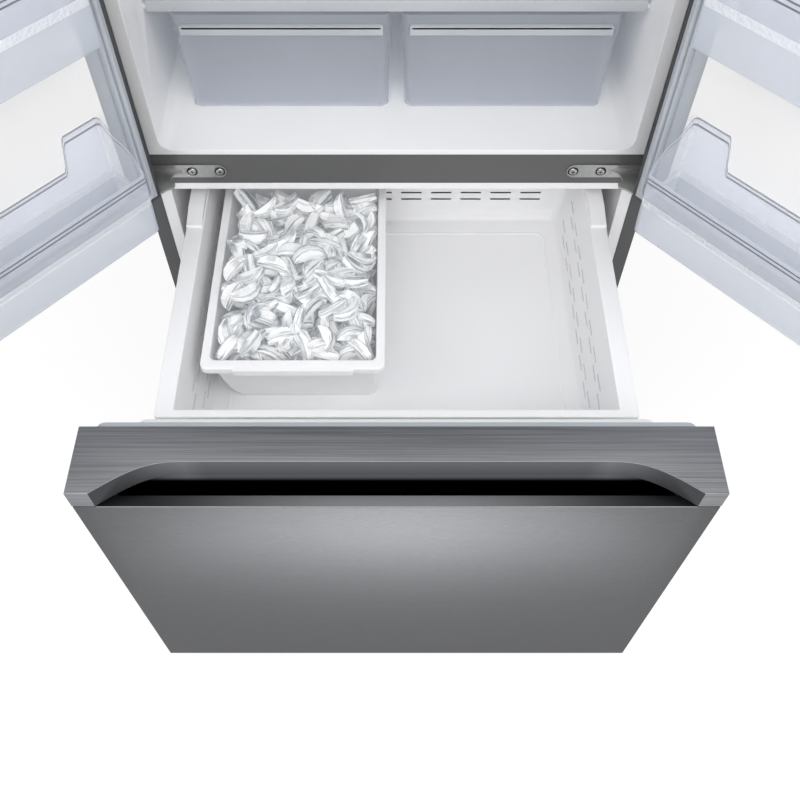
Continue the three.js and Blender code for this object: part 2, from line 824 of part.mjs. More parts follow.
function toeGrille() {
  const half = caseHalfWidth - toeInset;
  const back = toeFront + toeSheet;
  const panel = slab(-half, half, toeFront, back, toeBottom, footHeight - fit);
  const levels = [0, 1, 2].map((row) => toeBottom + toeSlotPitch * (row + 1) + past);
  const pitch = (2 * half) / toeColumns;
  return cut(
    panel, ...grilleSlots(pitch, pitch / 2 - toeBar, toeFront, back, levels, toeSlotHeight / 2),
  );
}

function machineCover() {
  const half = trayHalf - coverInset;
  const back = caseDepth - coverRecess;
  const top = machineTop - traySheet - fit;
  const panel = slab(-half, half, back - coverSheet, back, machineInside, top);
  const levels = [0, 1, 2, 3, 4].map((row) => machineFloor + coverSlotRise + row * coverSlotPitch);
  const pitch = (2 * half) / toeColumns;
  const slots = grilleSlots(
    pitch, pitch / 2 - coverBar, back - coverSheet, back, levels, coverSlotHeight / 2,
  );
  const inletZ = top - inletDrop;
  const inlet = cylinder(
    "y", inletRadius, half - inletInset, back + (coverRecess - past) / 2, inletZ,
    coverRecess - past + coverSheet, 24,
  );
  return join(cut(panel, ...slots), inlet);
}

// ---------------------------------------------------------------- cooling system
// A fan round a bore: a hub and flat blades set across the air stream.
function fan(axis, x, y, z, radius, hubRadius, depth, bladeCount) {
  const root = hubRadius - bladeRoot;
  const reach = radius - root;
  const blades = Array.from({ length: bladeCount }, (_, i) => {
    const blade = new THREE.BoxGeometry(reach, bladeSheet, depth * bladeOverHub);
    blade.rotateX(Math.PI / 5);
    blade.translate(root + reach / 2, 0, 0);
    return blade.rotateZ((i * 2 * Math.PI) / bladeCount);
  });
  const hub = cylinder("z", hubRadius, 0, 0, 0, depth, 24);
  const bore = cylinder("z", axleRadius + fit, 0, 0, 0, depth + 2 * past, 16);
  const made = cut(join(hub, ...blades), bore);
  if (axis === "x") made.rotateY(Math.PI / 2);
  if (axis === "y") made.rotateX(Math.PI / 2);
  return made.translate(x, y, z);
}

function compressor() {
  const radius = compressorRadius;
  const profile = [
    [0, 0], [radius - compressorFlange, 0], [radius, compressorFlange + past],
    [radius, compressorSeam], [radius - compressorTaper, compressorShoulder],
    [compressorCrown, compressorHeight - compressorTaper / 2], [0, compressorHeight],
  ].map(([r, h]) => new THREE.Vector2(r, h));
  const x = trayHalf - compressorInset;
  const y = caseDepth - compressorFromRear;
  const plateTop = machineInside + compressorPad + compressorPlate;
  const dome = new THREE.LatheGeometry(profile, 32)
    .rotateX(Math.PI / 2)
    .translate(x, y, plateTop - past);
  const halfX = compressorFootX + compressorPadRadius;
  const halfY = compressorFootY + compressorPadRadius;
  const shape = roundedRectangle(x - halfX, x + halfX, y - halfY, y + halfY, compressorPadRadius);
  const base = alongZ(shape, plateTop - compressorPlate, plateTop);
  const padHeight = compressorPad + past;
  const pads = [[-1, -1], [1, -1], [-1, 1], [1, 1]].map(([i, j]) =>
    cylinder(
      "z", compressorPadRadius - past, x + i * compressorFootX, y + j * compressorFootY,
      machineInside + padHeight / 2, padHeight, 16,
    ),
  );
  return join(dome, base, ...pads);
}

// A comb of flat fins on a back strip, drawn in X and Y: x grows from x0 by one pitch a fin.
function comb(x0, pitch, count, stripFront, stripBack, tips, halfSheet) {
  const x1 = x0 + count * pitch;
  const points = [[x0, stripFront], [x0, stripBack], [x1, stripBack], [x1, stripFront]];
  for (let i = count - 1; i > 0; i--) {
    const x = x0 + i * pitch;
    points.push(
      [x + halfSheet, stripFront], [x + halfSheet, tips],
      [x - halfSheet, tips], [x - halfSheet, stripFront],
    );
  }
  return polygon(points);
}

function condenser() {
  const low = machineInside;
  const high = machineTop - condenserHeadroom;
  const x0 = condenserInset - trayHalf;
  const back = caseDepth - condenserFromRear;
  const front = back - condenserLength;
  const finPitch = (condenserFanX - condenserFanGap - x0 - condenserPlateGap) / condenserFins;
  const finBack = back - condenserPlate;
  const finShape = comb(
    x0, finPitch, condenserFins, finBack - condenserStrip, finBack, front + condenserTipGap,
    condenserFinHalf,
  );
  const fins = alongZ(finShape, low + traySheet, high);
  const plateX = condenserFanX - condenserFanGap;
  const tray = slab(
    x0, condenserFanX + condenserTrayPast, front + condenserStrip, back, low, low + condenserPlate,
  );
  const plate = slab(plateX - condenserPlate, plateX, front, back, low, high);
  const holeRadius = condenserFanRadius + fanClearance;
  const hole = cylinder("x", holeRadius, plateX, condenserFanY, condenserFanZ, 4 * condenserPlate, 32);
  const half = spokeHalf;
  const reach = holeRadius + 2 * half;
  const spokes = [[reach, half], [half, reach]].map(([halfY, halfZ]) =>
    slab(
      plateX - condenserPlate, plateX, condenserFanY - halfY, condenserFanY + halfY,
      condenserFanZ - halfZ, condenserFanZ + halfZ,
    ),
  );
  const pinX = plateX - condenserPlate + condenserPin / 2;
  const pin = cylinder("x", axleRadius, pinX, condenserFanY, condenserFanZ, condenserPin, 16);
  return join(cut(plate, hole), fins, tray, pin, ...spokes);
}

function evaporatorCover() {
  const half = openingHalfWidth - fit;
  const front = evaporatorCoverFront;
  const back = front + evaporatorSheet;
  const low = lowerFreezerStep + fit;
  const panel = slab(-half, half, front, back, low, freezerCeiling - fit);
  const holeRadius = evaporatorFanRadius + fanClearance;
  const hole = cylinder("y", holeRadius, 0, front, evaporatorFanZ, 4 * evaporatorSheet, 32);
  const pitch = (2 * half) / returnCount;
  const returnLow = low + returnRise;
  const returns = [-1, 0, 1].map((i) => {
    const x = i * pitch;
    return slab(
      x - returnHalf, x + returnHalf, front - past, back + past, returnLow, returnLow + returnHeight,
    );
  });
  const reach = holeRadius + past;
  const spokes = [
    slab(-reach, reach, front, back, evaporatorFanZ - spokeHalf, evaporatorFanZ + spokeHalf),
    slab(-spokeHalf, spokeHalf, front, back, evaporatorFanZ - reach, evaporatorFanZ + reach),
  ];
  const pinY = back - past + evaporatorPin / 2;
  const pin = cylinder("y", axleRadius, 0, pinY, evaporatorFanZ, evaporatorPin, 16);
  return join(cut(panel, hole, ...returns), pin, ...spokes);
}

function evaporator() {
  const back = linerRear - fit;
  const tips = evaporatorCoverFront + 2 * evaporatorSheet;
  const half = openingHalfWidth - evaporatorSideGap;
  const pitch = (2 * half) / evaporatorFins;
  const shape = comb(
    -half, pitch, evaporatorFins, back - evaporatorStrip, back, tips, evaporatorFinHalf,
  );
  const low = lowerFreezerStep + evaporatorRise;
  return alongZ(shape, low, low + evaporatorHeight);
}

function iceMaker() {
  const high = freezerCeiling - fit;
  const low = high - iceMakerHeight;
  const x0 = bucketLeft - iceMakerPast;
  const x1 = bucketRight - iceMakerPast;
  const body = alongY(
    roundedRectangle(x0, x1, low, high, iceMakerCorner), iceMakerFront, linerRear - iceMakerRearGap,
  );
  const edge = mouldEdge;
  const mouldShape = roundedRectangle(
    x0 + edge, x1 - edge, low - past, low + mouldDepth, iceMakerCorner / 2,
  );
  const mould = alongY(mouldShape, iceMakerFront + mouldStart, linerRear - mouldRearGap);
  return cut(body, mould);
}

// ---------------------------------------------------------------- fresh food compartment
function shelf(level) {
  const half = openingHalfWidth - shelfSideGap;
  const shape = roundedRectangle(-half, half, shelfFront, shelfRear - past, shelfCorner);
  return alongZ(shape, level, level + shelfThickness);
}

// One crisper, drawn on the right: a drafted tray with a level pull along its front edge.
function crisper() {
  const low = freshFloor + fit;
  const high = low + crisperHeight;
  const shellRing = (inset, draft, z) =>
    ring(
      crisperHalfGap + inset + draft, crisperOuter - inset - draft,
      crisperFront + inset + draft, crisperRear - inset - draft, crisperCorner - inset, z,
    );
  const outer = loft([shellRing(0, crisperDraft, low), shellRing(0, 0, high)]);
  const inner = loft([
    shellRing(crisperWall, crisperDraft, low + crisperWall), shellRing(crisperWall, 0, high + past),
  ]);
  const pull = slab(
    crisperHalfGap + pullInset, crisperOuter - pullInset, crisperFront + past,
    crisperFront + pullDepth, high - crisperWall, high,
  );
  return join(cut(outer, inner), pull);
}

// ---------------------------------------------------------------- drawer
// The outline of the pocket in the cap, drawn in X and Y from the cap's front edge.
function pocketShape() {
  const front = doorOuter;
  const mouth = pocketMouth;
  const rear = front + pocketDepth;
  const bend = front + pocketBend;
  return new THREE.Shape()
    .moveTo(-mouth, front - past)
    .lineTo(mouth, front - past)
    .lineTo(mouth, front)
    .bezierCurveTo(mouth - pocketSlope, bend, mouth - pocketTurn, rear, mouth - pocketEnd, rear)
    .lineTo(pocketEnd - mouth, rear)
    .bezierCurveTo(pocketTurn - mouth, rear, pocketSlope - mouth, bend, -mouth, front);
}

function drawerTopCap() {
  const low = capBottom + fit;
  const block = slab(-doorHalfWidth, doorHalfWidth, doorOuter, doorInner, low, drawerTop);
  const upper = cut(block, alongZ(pocketShape(), low - past, drawerTop + past, 8));
  const hollow = slab(
    -doorHalfWidth + capWall, doorHalfWidth - capWall, pocketRear + capWall, doorInner - capWall,
    low - past, drawerTop - capWall,
  );
  const half = pocketHalfWidth;
  const front = doorOuter + lipDepth + fit;
  const tub = slab(-half, half, front, pocketRear + capWall, pocketFloor, low + past);
  const tubHollow = slab(
    -half + wall, half - wall, front + wall, pocketRear, pocketFloor + wall, low + 1.5 * past,
  );
  return cut(join(cut(upper, hollow), tub), tubHollow);
}

function drawerFrontPanel() {
  const half = doorHalfWidth;
  const sheet = half - skin;
  const outside = slab(-half, half, doorOuter, doorInner - hemGap, drawerBottom, capBottom);
  const inside = slab(
    -sheet, sheet, doorOuter + skin, doorInner, drawerBottom + skin, capBottom + past,
  );
  const lipRear = doorOuter + lipDepth;
  const lip = slab(-sheet, sheet, doorOuter, lipRear, capBottom - skin, capBottom);
  const turn = slab(-sheet, sheet, lipRear - skin, lipRear, capBottom - lipDrop, capBottom);
  return join(cut(outside, inside), lip, turn);
}

function drawerLiner() {
  const half = doorHalfWidth - skin - fit;
  const low = drawerBottom + skin + fit;
  const block = slab(-half, half, doorOuter + skin + fit, doorInner, low, capBottom);
  const wide = half + past;
  const lipSpace = slab(
    -wide, wide, doorOuter, doorOuter + lipDepth + fit, capBottom - lipDrop - fit, capBottom + past,
  );
  const pocketHalf = pocketHalfWidth + fit;
  const pocketSpace = slab(
    -pocketHalf, pocketHalf, doorOuter, pocketRear + capWall + fit, pocketFloor - fit,
    capBottom + past,
  );
  const plateauShape = roundedRectangle(
    -drawerPlateauHalfWidth, drawerPlateauHalfWidth, freezerFloor + plateauFloorGap,
    drawerPlateauTop, plateauCorner,
  );
  const plateau = alongY(plateauShape, doorInner - past, drawerPlateauRear, 3);
  return join(cut(block, lipSpace, pocketSpace), plateau);
}

// A magnetic gasket frame round a door, drawn in X and Z.
function gasketFrame(x0, x1, z0, z1) {
  const width = gasketWidth;
  const back = doorInner + fit;
  const outer = alongY(roundedRectangle(x0, x1, z0, z1, gasketCorner), back, back + gasketThickness);
  const inner = alongY(
    roundedRectangle(x0 + width, x1 - width, z0 + width, z1 - width, gasketCorner / 2),
    back - past, back + gasketThickness + past,
  );
  return cut(outer, inner);
}

// Carries both bins: the inner slide member on the right with its foot and side frame.
function slideInner() {
  const x1 = slideInnerX;
  const x0 = x1 - slideMemberWidths[2];
  const y0 = drawerPlateauRear + fit;
  const y1 = y0 + slideLength;
  const sheet = slideSheet;
  const frameFront = y0 + slideFrameStart;
  const rail = slab(x0, x1, y0, y1, slideBottom, slideTop);
  const foot = slab(
    x0 - slideFoot, x0 + sheet, y0, y0 + sheet, slideBottom - slideFootMargin,
    slideTop + slideFootMargin,
  );
  const frame = slab(x0, x0 + wall, frameFront, y1, slideTop - past, binWingLevel);
  const shelves = [slideTop, binWingLevel].map((z) =>
    slab(x0 - slideShelf, x0 + wall, frameFront, y1, z - wall, z),
  );
  return join(rail, foot, frame, ...shelves);
}

function slideMiddle() {
  const x1 = slideMiddleX;
  const y1 = slideStart + slideLength - slideShort;
  return slab(x1 - slideMemberWidths[1], x1, slideStart, y1, slideBottom, slideTop);
}

function slideOuter() {
  const x1 = slideOuterX;
  const y1 = slideStart + slideLength + slideLong;
  return slab(x1 - slideMemberWidths[0], x1, slideStart, y1, slideBottom, slideTop);
}

function lowerBin() {
  const shellRing = (inset, low, z) => {
    const half = lowerBinHalfWidth - inset - low * lowerBinSideDraft;
    const draft = inset + low * lowerBinDraft;
    return ring(
      -half, half, lowerBinFront + draft, lowerBinRear - draft, lowerBinCorner - inset, z,
    );
  };
  const outer = loft([shellRing(0, 1, lowerBinFloor), shellRing(0, 0, lowerBinTop)]);
  const inner = loft([
    shellRing(binWall, 1, lowerBinFloor + binWall), shellRing(binWall, 0, lowerBinTop + past),
  ]);
  const reach = slideInnerX - slideMemberWidths[2] - fit;
  const ledgeLow = slideTop + fit;
  const ledge = slab(
    -reach, reach, lowerBinFront + ledgeFrontGap, lowerBinRear - ledgeRearGap, ledgeLow,
    ledgeLow + slideSheet,
  );
  return cut(join(outer, ledge), inner);
}

// The floor of the upper bin is smaller than its mouth by the draft of its walls.
function upperBin() {
  const mouth = binMouthHalf;
  const floorHalf = binFloorHalfWidth;
  const inset = binWall;
  const rimUnder = binRimTop - past;
  const outer = loft([
    ring(
      -floorHalf - inset, floorHalf + inset, binFloorFront - inset, binFloorRear + inset,
      binCorner + inset, binFloor - inset, binFrontCorner,
    ),
    ring(
      -mouth - inset, mouth + inset, binFrontInner - inset, binRearInner + inset,
      binCorner + inset, rimUnder, binFrontCorner,
    ),
  ]);
  const inner = loft([
    ring(
      -floorHalf, floorHalf, binFloorFront, binFloorRear, binCorner, binFloor, binFrontCorner,
    ),
    ring(
      -mouth, mouth, binFrontInner, binRearInner, binCorner, binRimTop + past, binFrontCorner,
    ),
  ]);
  const half = binHalfWidth;
  const rimShape = roundedRectangle(-half, half, binFront, binRear, binFrontCorner);
  const rim = alongZ(rimShape, binRimTop - inset, binRimTop);
  const shoulderTop = binRimTop + binShoulderRise;
  const shoulderProfile = polygon([
    [binShoulderStart, rimUnder],
    [binRear, rimUnder],
    [binRear, shoulderTop],
    [binShoulderStart + binShoulderRun, shoulderTop],
    [binShoulderStart, binRimTop],
  ]);
  const shoulders = [[binShoulderInner, half], [-half, -binShoulderInner]].map(([x0, x1]) =>
    alongX(shoulderProfile, x0, x1),
  );
  const reach = slideInnerX - slideMemberWidths[2] - fit;
  const wingLow = binWingLevel + fit;
  const wing = slab(
    -reach, reach, binFront + wingFrontGap, binRear - wingRearGap, wingLow, wingLow + slideSheet,
  );
  const pitch = (2 * (floorHalf - slotMargin)) / slotsPerRow;
  const slots = [0, 1].flatMap((row) =>
    Array.from({ length: slotsPerRow }, (_, i) => {
      const x = (i - (slotsPerRow - 1) / 2) * pitch;
      const z = binFloor + slotRise + row * slotRowPitch;
      const halfLength = slotLength / 2;
      const halfHeight = slotHeight / 2;
      return slab(
        x - halfLength, x + halfLength, binFloorRear - binWall, binRear, z - halfHeight,
        z + halfHeight,
      );
    }),
  );
  return cut(join(outer, rim, wing, ...shoulders), inner, ...slots);
}

// One level ring of the bucket's wall: its lower left edge is drawn in by a broad curve.
function bucketRing(inset, z, share) {
  const side = bucketRim + inset;
  const draft = (1 - share) * bucketDraft;
  const curve = bucketCurve * (1 - Math.sqrt(1 - (1 - share) ** 2));
  return ring(
    bucketLeft + side + draft + curve, bucketRight - side - draft,
    bucketFront + bucketFrontRim + inset + draft, bucketRear - side - draft,
    bucketCorner - inset, z,
  );
}

function iceBucket() {
  const low = binFloor + fit;
  const high = bucketRimTop - past;
  const levels = [0, 0.12, 0.35, 0.7, 1];
  const outer = loft(levels.map((share) => bucketRing(0, low + share * (high - low), share)));
  const floor = low + binWall;
  const inner = loft(
    levels.map((share) => bucketRing(binWall, floor + share * (bucketRimTop + past - floor), share)),
  );
  const rimShape = roundedRectangle(bucketLeft, bucketRight, bucketFront, bucketRear, bucketCorner);
  const rim = alongZ(rimShape, bucketRimTop - binWall, bucketRimTop, 3);
  const skirtOuter = alongZ(rimShape, bucketRimTop - bucketSkirt, high, 3);
  const skirtShape = roundedRectangle(
    bucketLeft + wall, bucketRight - wall, bucketFront + wall, bucketRear - wall, bucketCorner - wall,
  );
  const skirtInner = alongZ(skirtShape, bucketRimTop - bucketSkirt - past, bucketRimTop - binWall, 3);
  return cut(join(outer, rim, cut(skirtOuter, skirtInner)), inner);
}

// The heap of ice: its top is a dome with lumps the size of one piece of ice.
function iceHeap() {
  const columns = 12;
  const rows = 18;
  const low = binFloor + binWall + 2 * fit;
  const margin = bucketRim + bucketDraft + binWall + heapGap;
  const x0 = bucketLeft + margin + heapLeftGap;
  const x1 = bucketRight - margin;
  const y0 = bucketFront + bucketFrontRim + bucketDraft + binWall + heapGap;
  const y1 = bucketRear - margin;
  const edge = bucketRimTop - heapEdgeDrop;
  const positions = [];
  for (let row = 0; row <= rows; row++) {
    for (let column = 0; column <= columns; column++) {
      const u = column / columns;
      const v = row / rows;
      const dome = Math.min(1, 3.2 * Math.min(u, 1 - u, 1.4 * v, 1.4 * (1 - v)));
      const lump = Math.sin(9.5 * u + 4 * v) * Math.cos(14 * v - 3 * u);
      const x = x0 + (x1 - x0) * u;
      const y = y0 + (y1 - y0) * v;
      positions.push(x, y, edge + dome * (iceTop - heapLump - edge + heapLump * lump));
    }
  }
  const across = columns + 1;
  const topCount = across * (rows + 1);
  for (let i = 0; i < topCount; i++) {
    const [x, y] = positions.slice(3 * i, 3 * i + 2);
    positions.push(x + (bucketCurve * (x1 - x)) / (x1 - x0), y, low);
  }
  const index = [];
  for (let row = 0; row < rows; row++) {
    for (let column = 0; column < columns; column++) {
      const a = row * across + column;
      const b = a + 1;
      const c = b + across;
      const d = a + across;
      index.push(a, b, c, a, c, d);
      index.push(a + topCount, c + topCount, b + topCount, a + topCount, d + topCount, c + topCount);
    }
  }
  const rim = [];
  for (let column = 0; column < columns; column++) rim.push(column);
  for (let row = 0; row < rows; row++) rim.push(row * across + columns);
  for (let column = columns; column > 0; column--) rim.push(rows * across + column);
  for (let row = rows; row > 0; row--) rim.push(row * across);
  rim.forEach((a, i) => {
    const b = rim[(i + 1) % rim.length];
    index.push(a, a + topCount, b + topCount, a, b + topCount, b);
  });
  return new THREE.BufferGeometry()
    .setAttribute("position", new THREE.Float32BufferAttribute(positions, 3))
    .setIndex(index);
}

// ---------------------------------------------------------------- French doors, drawn on the right
function doorPinHoles(z0, z1) {
  return cylinder(
    "z", hingePinRadius + pinClearance, hingeAxisX, hingeAxisY, (z0 + z1) / 2, z1 - z0, 20,
  );
}

function gripSpace(grow) {
  const front = doorOuter + gripFront - grow;
  return slab(
    gripInnerX - grow, gripOuterX + grow, front, front + gripDepth + 2 * grow,
    doorBottom - past, doorBottom + gripHeight + grow,
  );
}

function doorSkin() {
  const x0 = centreHalfGap;
  const x1 = doorHalfWidth;
  const outside = slab(x0, x1, doorOuter, doorInner, doorBottom, skinTop);
  const inside = slab(
    x0 + skin, x1 - skin, doorOuter + skin, doorInner - skin, doorBottom + skin, skinTop - skin,
  );
  const back = slab(
    x0 + hemWidth, x1 - hemWidth, doorInner - 2 * skin, doorInner + past,
    doorBottom + hemWidth, skinTop - hemWidth,
  );
  const pins = [
    doorPinHoles(doorBottom - past, doorBottom + 2 * skin),
    doorPinHoles(skinTop - 2 * skin, skinTop + past),
  ];
  return cut(outside, inside, back, gripSpace(0), ...pins);
}

function doorLiner(lugs) {
  const side = skin + fit;
  const low = doorBottom + side;
  const top = skinTop - side;
  const x0 = centreHalfGap;
  const x1 = doorHalfWidth;
  const rear = doorInner - side;
  const block = slab(x0 + side, x1 - side, doorOuter + side, rear, low, top);
  const hem = hemWidth + fit;
  const face = slab(x0 + hem, x1 - hem, rear - past, doorInner, doorBottom + hem, skinTop - hem);
  const plateauShape = roundedRectangle(
    plateauFree, plateauHinge, freshFloor + plateauInset, freshCeiling - plateauInset,
    plateauCorner - plateauCorner / 5,
  );
  const plateau = alongY(plateauShape, doorInner - past, plateauInner, 3);
  const pins = [
    doorPinHoles(doorBottom, doorBottom + bushDepth), doorPinHoles(top - bushDepth, top + past),
  ];
  const body = cut(join(block, face, plateau), gripSpace(fit), ...pins);
  return lugs ? join(body, ...flapLugs()) : body;
}

// The two lugs that hold the mullion flap, drawn on the right as the rest of the door.
function flapLugs() {
  const x0 = flapPivotX - flapPivotInset;
  return [flapLow - flapLugHeight, flapHigh + fit].map((z) =>
    slab(
      x0, x0 + flapLugLength + flapPivotInset, doorInner - past, flapPivotY + 2 * flapFaceGap, z,
      z + flapLugHeight - fit,
    ),
  );
}

// Folded back along the door, as it is while the door stands open.
function mullionFlap() {
  const x0 = flapPivotX - flapPivotInset;
  const y0 = flapPivotY + flapFaceGap;
  const shape = roundedRectangle(x0, x0 + flapThickness, y0, y0 + flapWidth, flapFaceGap);
  return alongZ(shape, flapLow, flapHigh);
}

// A bin with upright ends: at both ends the wall sweeps up from the front rim to an ear, which
// returns along the back wall.
function doorBin(level) {
  const back = plateauInner + fit;
  const rimTop = level + doorBinHeight;
  const earTop = rimTop + binEarRise;
  const shellRing = (inset, low, z) =>
    ring(
      doorBinFreeEnd + inset, doorBinHingeEnd - inset, back + inset,
      doorBinFront - inset - low * doorBinFrontDraft, doorBinCorner - inset, z,
    );
  const outer = loft([
    shellRing(0, 1, level), shellRing(0, 0, rimTop), shellRing(0, 0, earTop),
  ]);
  const inner = loft([
    shellRing(doorBinWall, 1, level + doorBinWall), shellRing(doorBinWall, 0, rimTop),
    shellRing(doorBinWall, 0, earTop + past),
  ]);
  const between = slab(
    doorBinFreeEnd + binEarReturn, doorBinHingeEnd - binEarReturn, back - past,
    doorBinFront + past, rimTop, earTop + past,
  );
  const sweep = new THREE.Shape()
    .moveTo(doorBinFront + past, rimTop)
    .lineTo(doorBinFront, rimTop)
    .bezierCurveTo(
      doorBinFront - binEarSweep / 3, rimTop + binEarRise / 2,
      doorBinFront - binEarSweep / 2, rimTop + binEarShoulder,
      doorBinFront - binEarSweep, rimTop + binEarShoulder,
    )
    .lineTo(back + binEarBack, earTop)
    .lineTo(back + binEarBack, earTop + past)
    .lineTo(doorBinFront + past, earTop + past);
  const ends = alongX(sweep, doorBinFreeEnd - past, doorBinHingeEnd + past, 6);
  return cut(outer, inner, between, ends);
}

// ---------------------------------------------------------------- assembly
function hinged(x, y, degrees) {
  const pivot = new THREE.Group();
  pivot.position.set(x, y, 0);
  pivot.rotation.z = THREE.MathUtils.degToRad(degrees);
  const inside = new THREE.Group();
  inside.position.set(-x, -y, 0);
  pivot.add(inside);
  return [pivot, inside];
}

function pair(name, geometry, colour) {
  return [
    meshOf(name + "_left", mirrored(geometry), colour),
    meshOf(name + "_right", geometry, colour),
  ];
}

const cabinet = new THREE.Group();
cabinet.add(
  meshOf("outer_wrapper", outerWrapper(), "paintedGrey"),
  meshOf("rear_panel", rearPanel(), "galvanised"),
  meshOf("base_tray", baseTray(), "galvanised"),
  meshOf("cabinet_foam", cabinetFoam(), "foam"),
  meshOf("fresh_food_liner", freshFoodLiner(), "white"),
  meshOf("freezer_liner", freezerLiner(), "white"),
  meshOf("mullion_rail", mullionRail(), "railGrey"),
  ...pair("lower_hinge", lowerHinge(), "zinc"),
  ...pair("top_hinge", topHinge(), "zinc"),
  ...pair("top_hinge_cover", topHingeCover(), "paintedGrey"),
  meshOf("toe_grille", toeGrille(), "black"),
  meshOf("machine_cover", machineCover(), "galvanised"),
  meshOf("compressor", compressor(), "black"),
  meshOf("condenser", condenser(), "black"),
  meshOf(
    "condenser_fan",
    fan(
      "x", condenserFanX, condenserFanY, condenserFanZ, condenserFanRadius, condenserHubRadius,
      condenserHubDepth, fanBlades,
    ),
    "black",
  ),
  meshOf("evaporator_cover", evaporatorCover(), "white"),
  meshOf("evaporator", evaporator(), "aluminium"),
  meshOf(
    "evaporator_fan",
    fan(
      "y", 0, evaporatorCoverFront + evaporatorFanBehind, evaporatorFanZ, evaporatorFanRadius,
      evaporatorHubDepth, evaporatorHubDepth, fanBlades,
    ),
    "black",
  ),
  meshOf("ice_maker", iceMaker(), "white"),
  meshOf("crisper_cover", shelf(crisperCoverLevel), "glass"),
  meshOf("shelf_lower", shelf(shelfLevels[0]), "glass"),
  meshOf("shelf_upper", shelf(shelfLevels[1]), "glass"),
  ...pair("crisper", crisper(), "bin"),
  ...pair("slide_outer", slideOuter(), "zinc"),
);
for (const [side, word] of [[-1, "left"], [1, "right"]]) {
  cabinet.add(
    meshOf("leveling_foot_" + word, levelingFoot(side), "black"),
    meshOf("rear_roller_" + word, rearRoller(side), "black"),
  );
  screwPositions.forEach((x, i) => {
    const place = i === 0 ? "outer" : "inner";
    cabinet.add(meshOf("hinge_screw_" + word + "_" + place, hingeScrew(side, x), "zinc"));
  });
}

const middleSlides = new THREE.Group();
middleSlides.add(...pair("slide_middle", slideMiddle(), "zinc"));
middleSlides.position.y = -drawerTravel / 2;

const drawer = new THREE.Group();
const drawerGasketHalf = doorHalfWidth - drawerGasketEdge;
drawer.add(
  meshOf("drawer_front_panel", drawerFrontPanel(), "darkSteel"),
  meshOf("drawer_top_cap", drawerTopCap(), "capSteel"),
  meshOf("drawer_liner", drawerLiner(), "white"),
  meshOf(
    "drawer_gasket",
    gasketFrame(
      -drawerGasketHalf, drawerGasketHalf, drawerBottom + gasketWidth,
      drawerTop - drawerGasketTopEdge,
    ),
    "gasket",
  ),
  ...pair("slide_inner", slideInner(), "zinc"),
  meshOf("lower_bin", lowerBin(), "white"),
  meshOf("upper_bin", upperBin(), "white"),
  meshOf("ice_bucket", iceBucket(), "white"),
  meshOf("ice_heap", iceHeap(), "ice"),
);
drawer.position.y = -drawerTravel;

// Each door hangs on its pins and stands open by the same angle.
const doors = [-1, 1].map((side) => {
  const word = side < 0 ? "left" : "right";
  const [pivot, inside] = hinged(side * hingeAxisX, hingeAxisY, side * doorOpenDegrees);
  const place = side < 0 ? mirrored : (geometry) => geometry;
  const gasket = gasketFrame(
    centreHalfGap + hemWidth, doorHalfWidth - gasketEdge, doorBottom + gasketEdge,
    doorTop - gasketEdge,
  );
  inside.add(
    meshOf(word + "_door_skin", place(doorSkin()), "darkSteel"),
    meshOf(word + "_door_liner", place(doorLiner(side < 0)), "door"),
    meshOf(word + "_door_gasket", place(gasket), "gasket"),
    meshOf(word + "_door_bin_lower", place(doorBin(doorBinBottom)), "bin"),
    meshOf(word + "_door_bin_upper", place(doorBin(doorBinBottom + doorBinPitch)), "bin"),
  );
  if (side < 0) inside.add(meshOf("mullion_flap", mirrored(mullionFlap()), "paintedGrey"));
  return pivot;
});

const refrigerator = new THREE.Group();
refrigerator.add(cabinet, middleSlides, drawer, ...doors);
refrigerator.position.y = -middleY;

export default refrigerator;
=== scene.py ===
"""French-door refrigerator over a bottom freezer drawer: its finishes, its fine shapes and the ice.

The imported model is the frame. Most CAD nodes are shown through a merged copy with rolled edges,
and the shapes that a closer look needs are worked out here as surfaces of two parameters: one runs
along a profile or up a wall, the other round a path."""

import json
import math

import bmesh
import bpy
import numpy as np
from mathutils import Matrix, Vector


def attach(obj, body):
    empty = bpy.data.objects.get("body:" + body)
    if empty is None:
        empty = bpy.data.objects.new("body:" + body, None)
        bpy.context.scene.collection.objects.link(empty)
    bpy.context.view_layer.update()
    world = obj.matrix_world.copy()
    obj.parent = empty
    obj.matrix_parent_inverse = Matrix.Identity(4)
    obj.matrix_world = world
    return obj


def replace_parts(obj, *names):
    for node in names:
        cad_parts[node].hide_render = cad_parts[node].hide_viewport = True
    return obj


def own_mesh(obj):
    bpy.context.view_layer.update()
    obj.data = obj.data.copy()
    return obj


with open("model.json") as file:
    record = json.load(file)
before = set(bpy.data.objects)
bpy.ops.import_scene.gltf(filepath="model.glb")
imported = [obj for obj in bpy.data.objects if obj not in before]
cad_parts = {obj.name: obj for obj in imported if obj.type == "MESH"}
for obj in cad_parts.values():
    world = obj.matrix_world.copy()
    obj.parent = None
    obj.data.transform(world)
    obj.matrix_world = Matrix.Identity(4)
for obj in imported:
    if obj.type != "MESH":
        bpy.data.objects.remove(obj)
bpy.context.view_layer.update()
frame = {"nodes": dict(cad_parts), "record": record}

MM = 0.001
DOOR_OPEN = math.radians(132.2)
HINGE_AXIS_X = 440.4  # mm, as in the part's source
HINGE_AXIS_Y = -53.4  # from the cabinet's front plane
ROW_Y = 65.5  # from the cabinet's front plane back to the frame's Y = 0
TRAVEL = 513  # the drawer stands this far out
SIDES = (("left", -1), ("right", 1))
BODY_OF = {node: body for body, nodes in frame["record"]["behaviour"]["bodies"].items() for node in nodes}
SLOT_OF = {row["node"]: row["material_slot"] for row in frame["record"]["subparts"]}


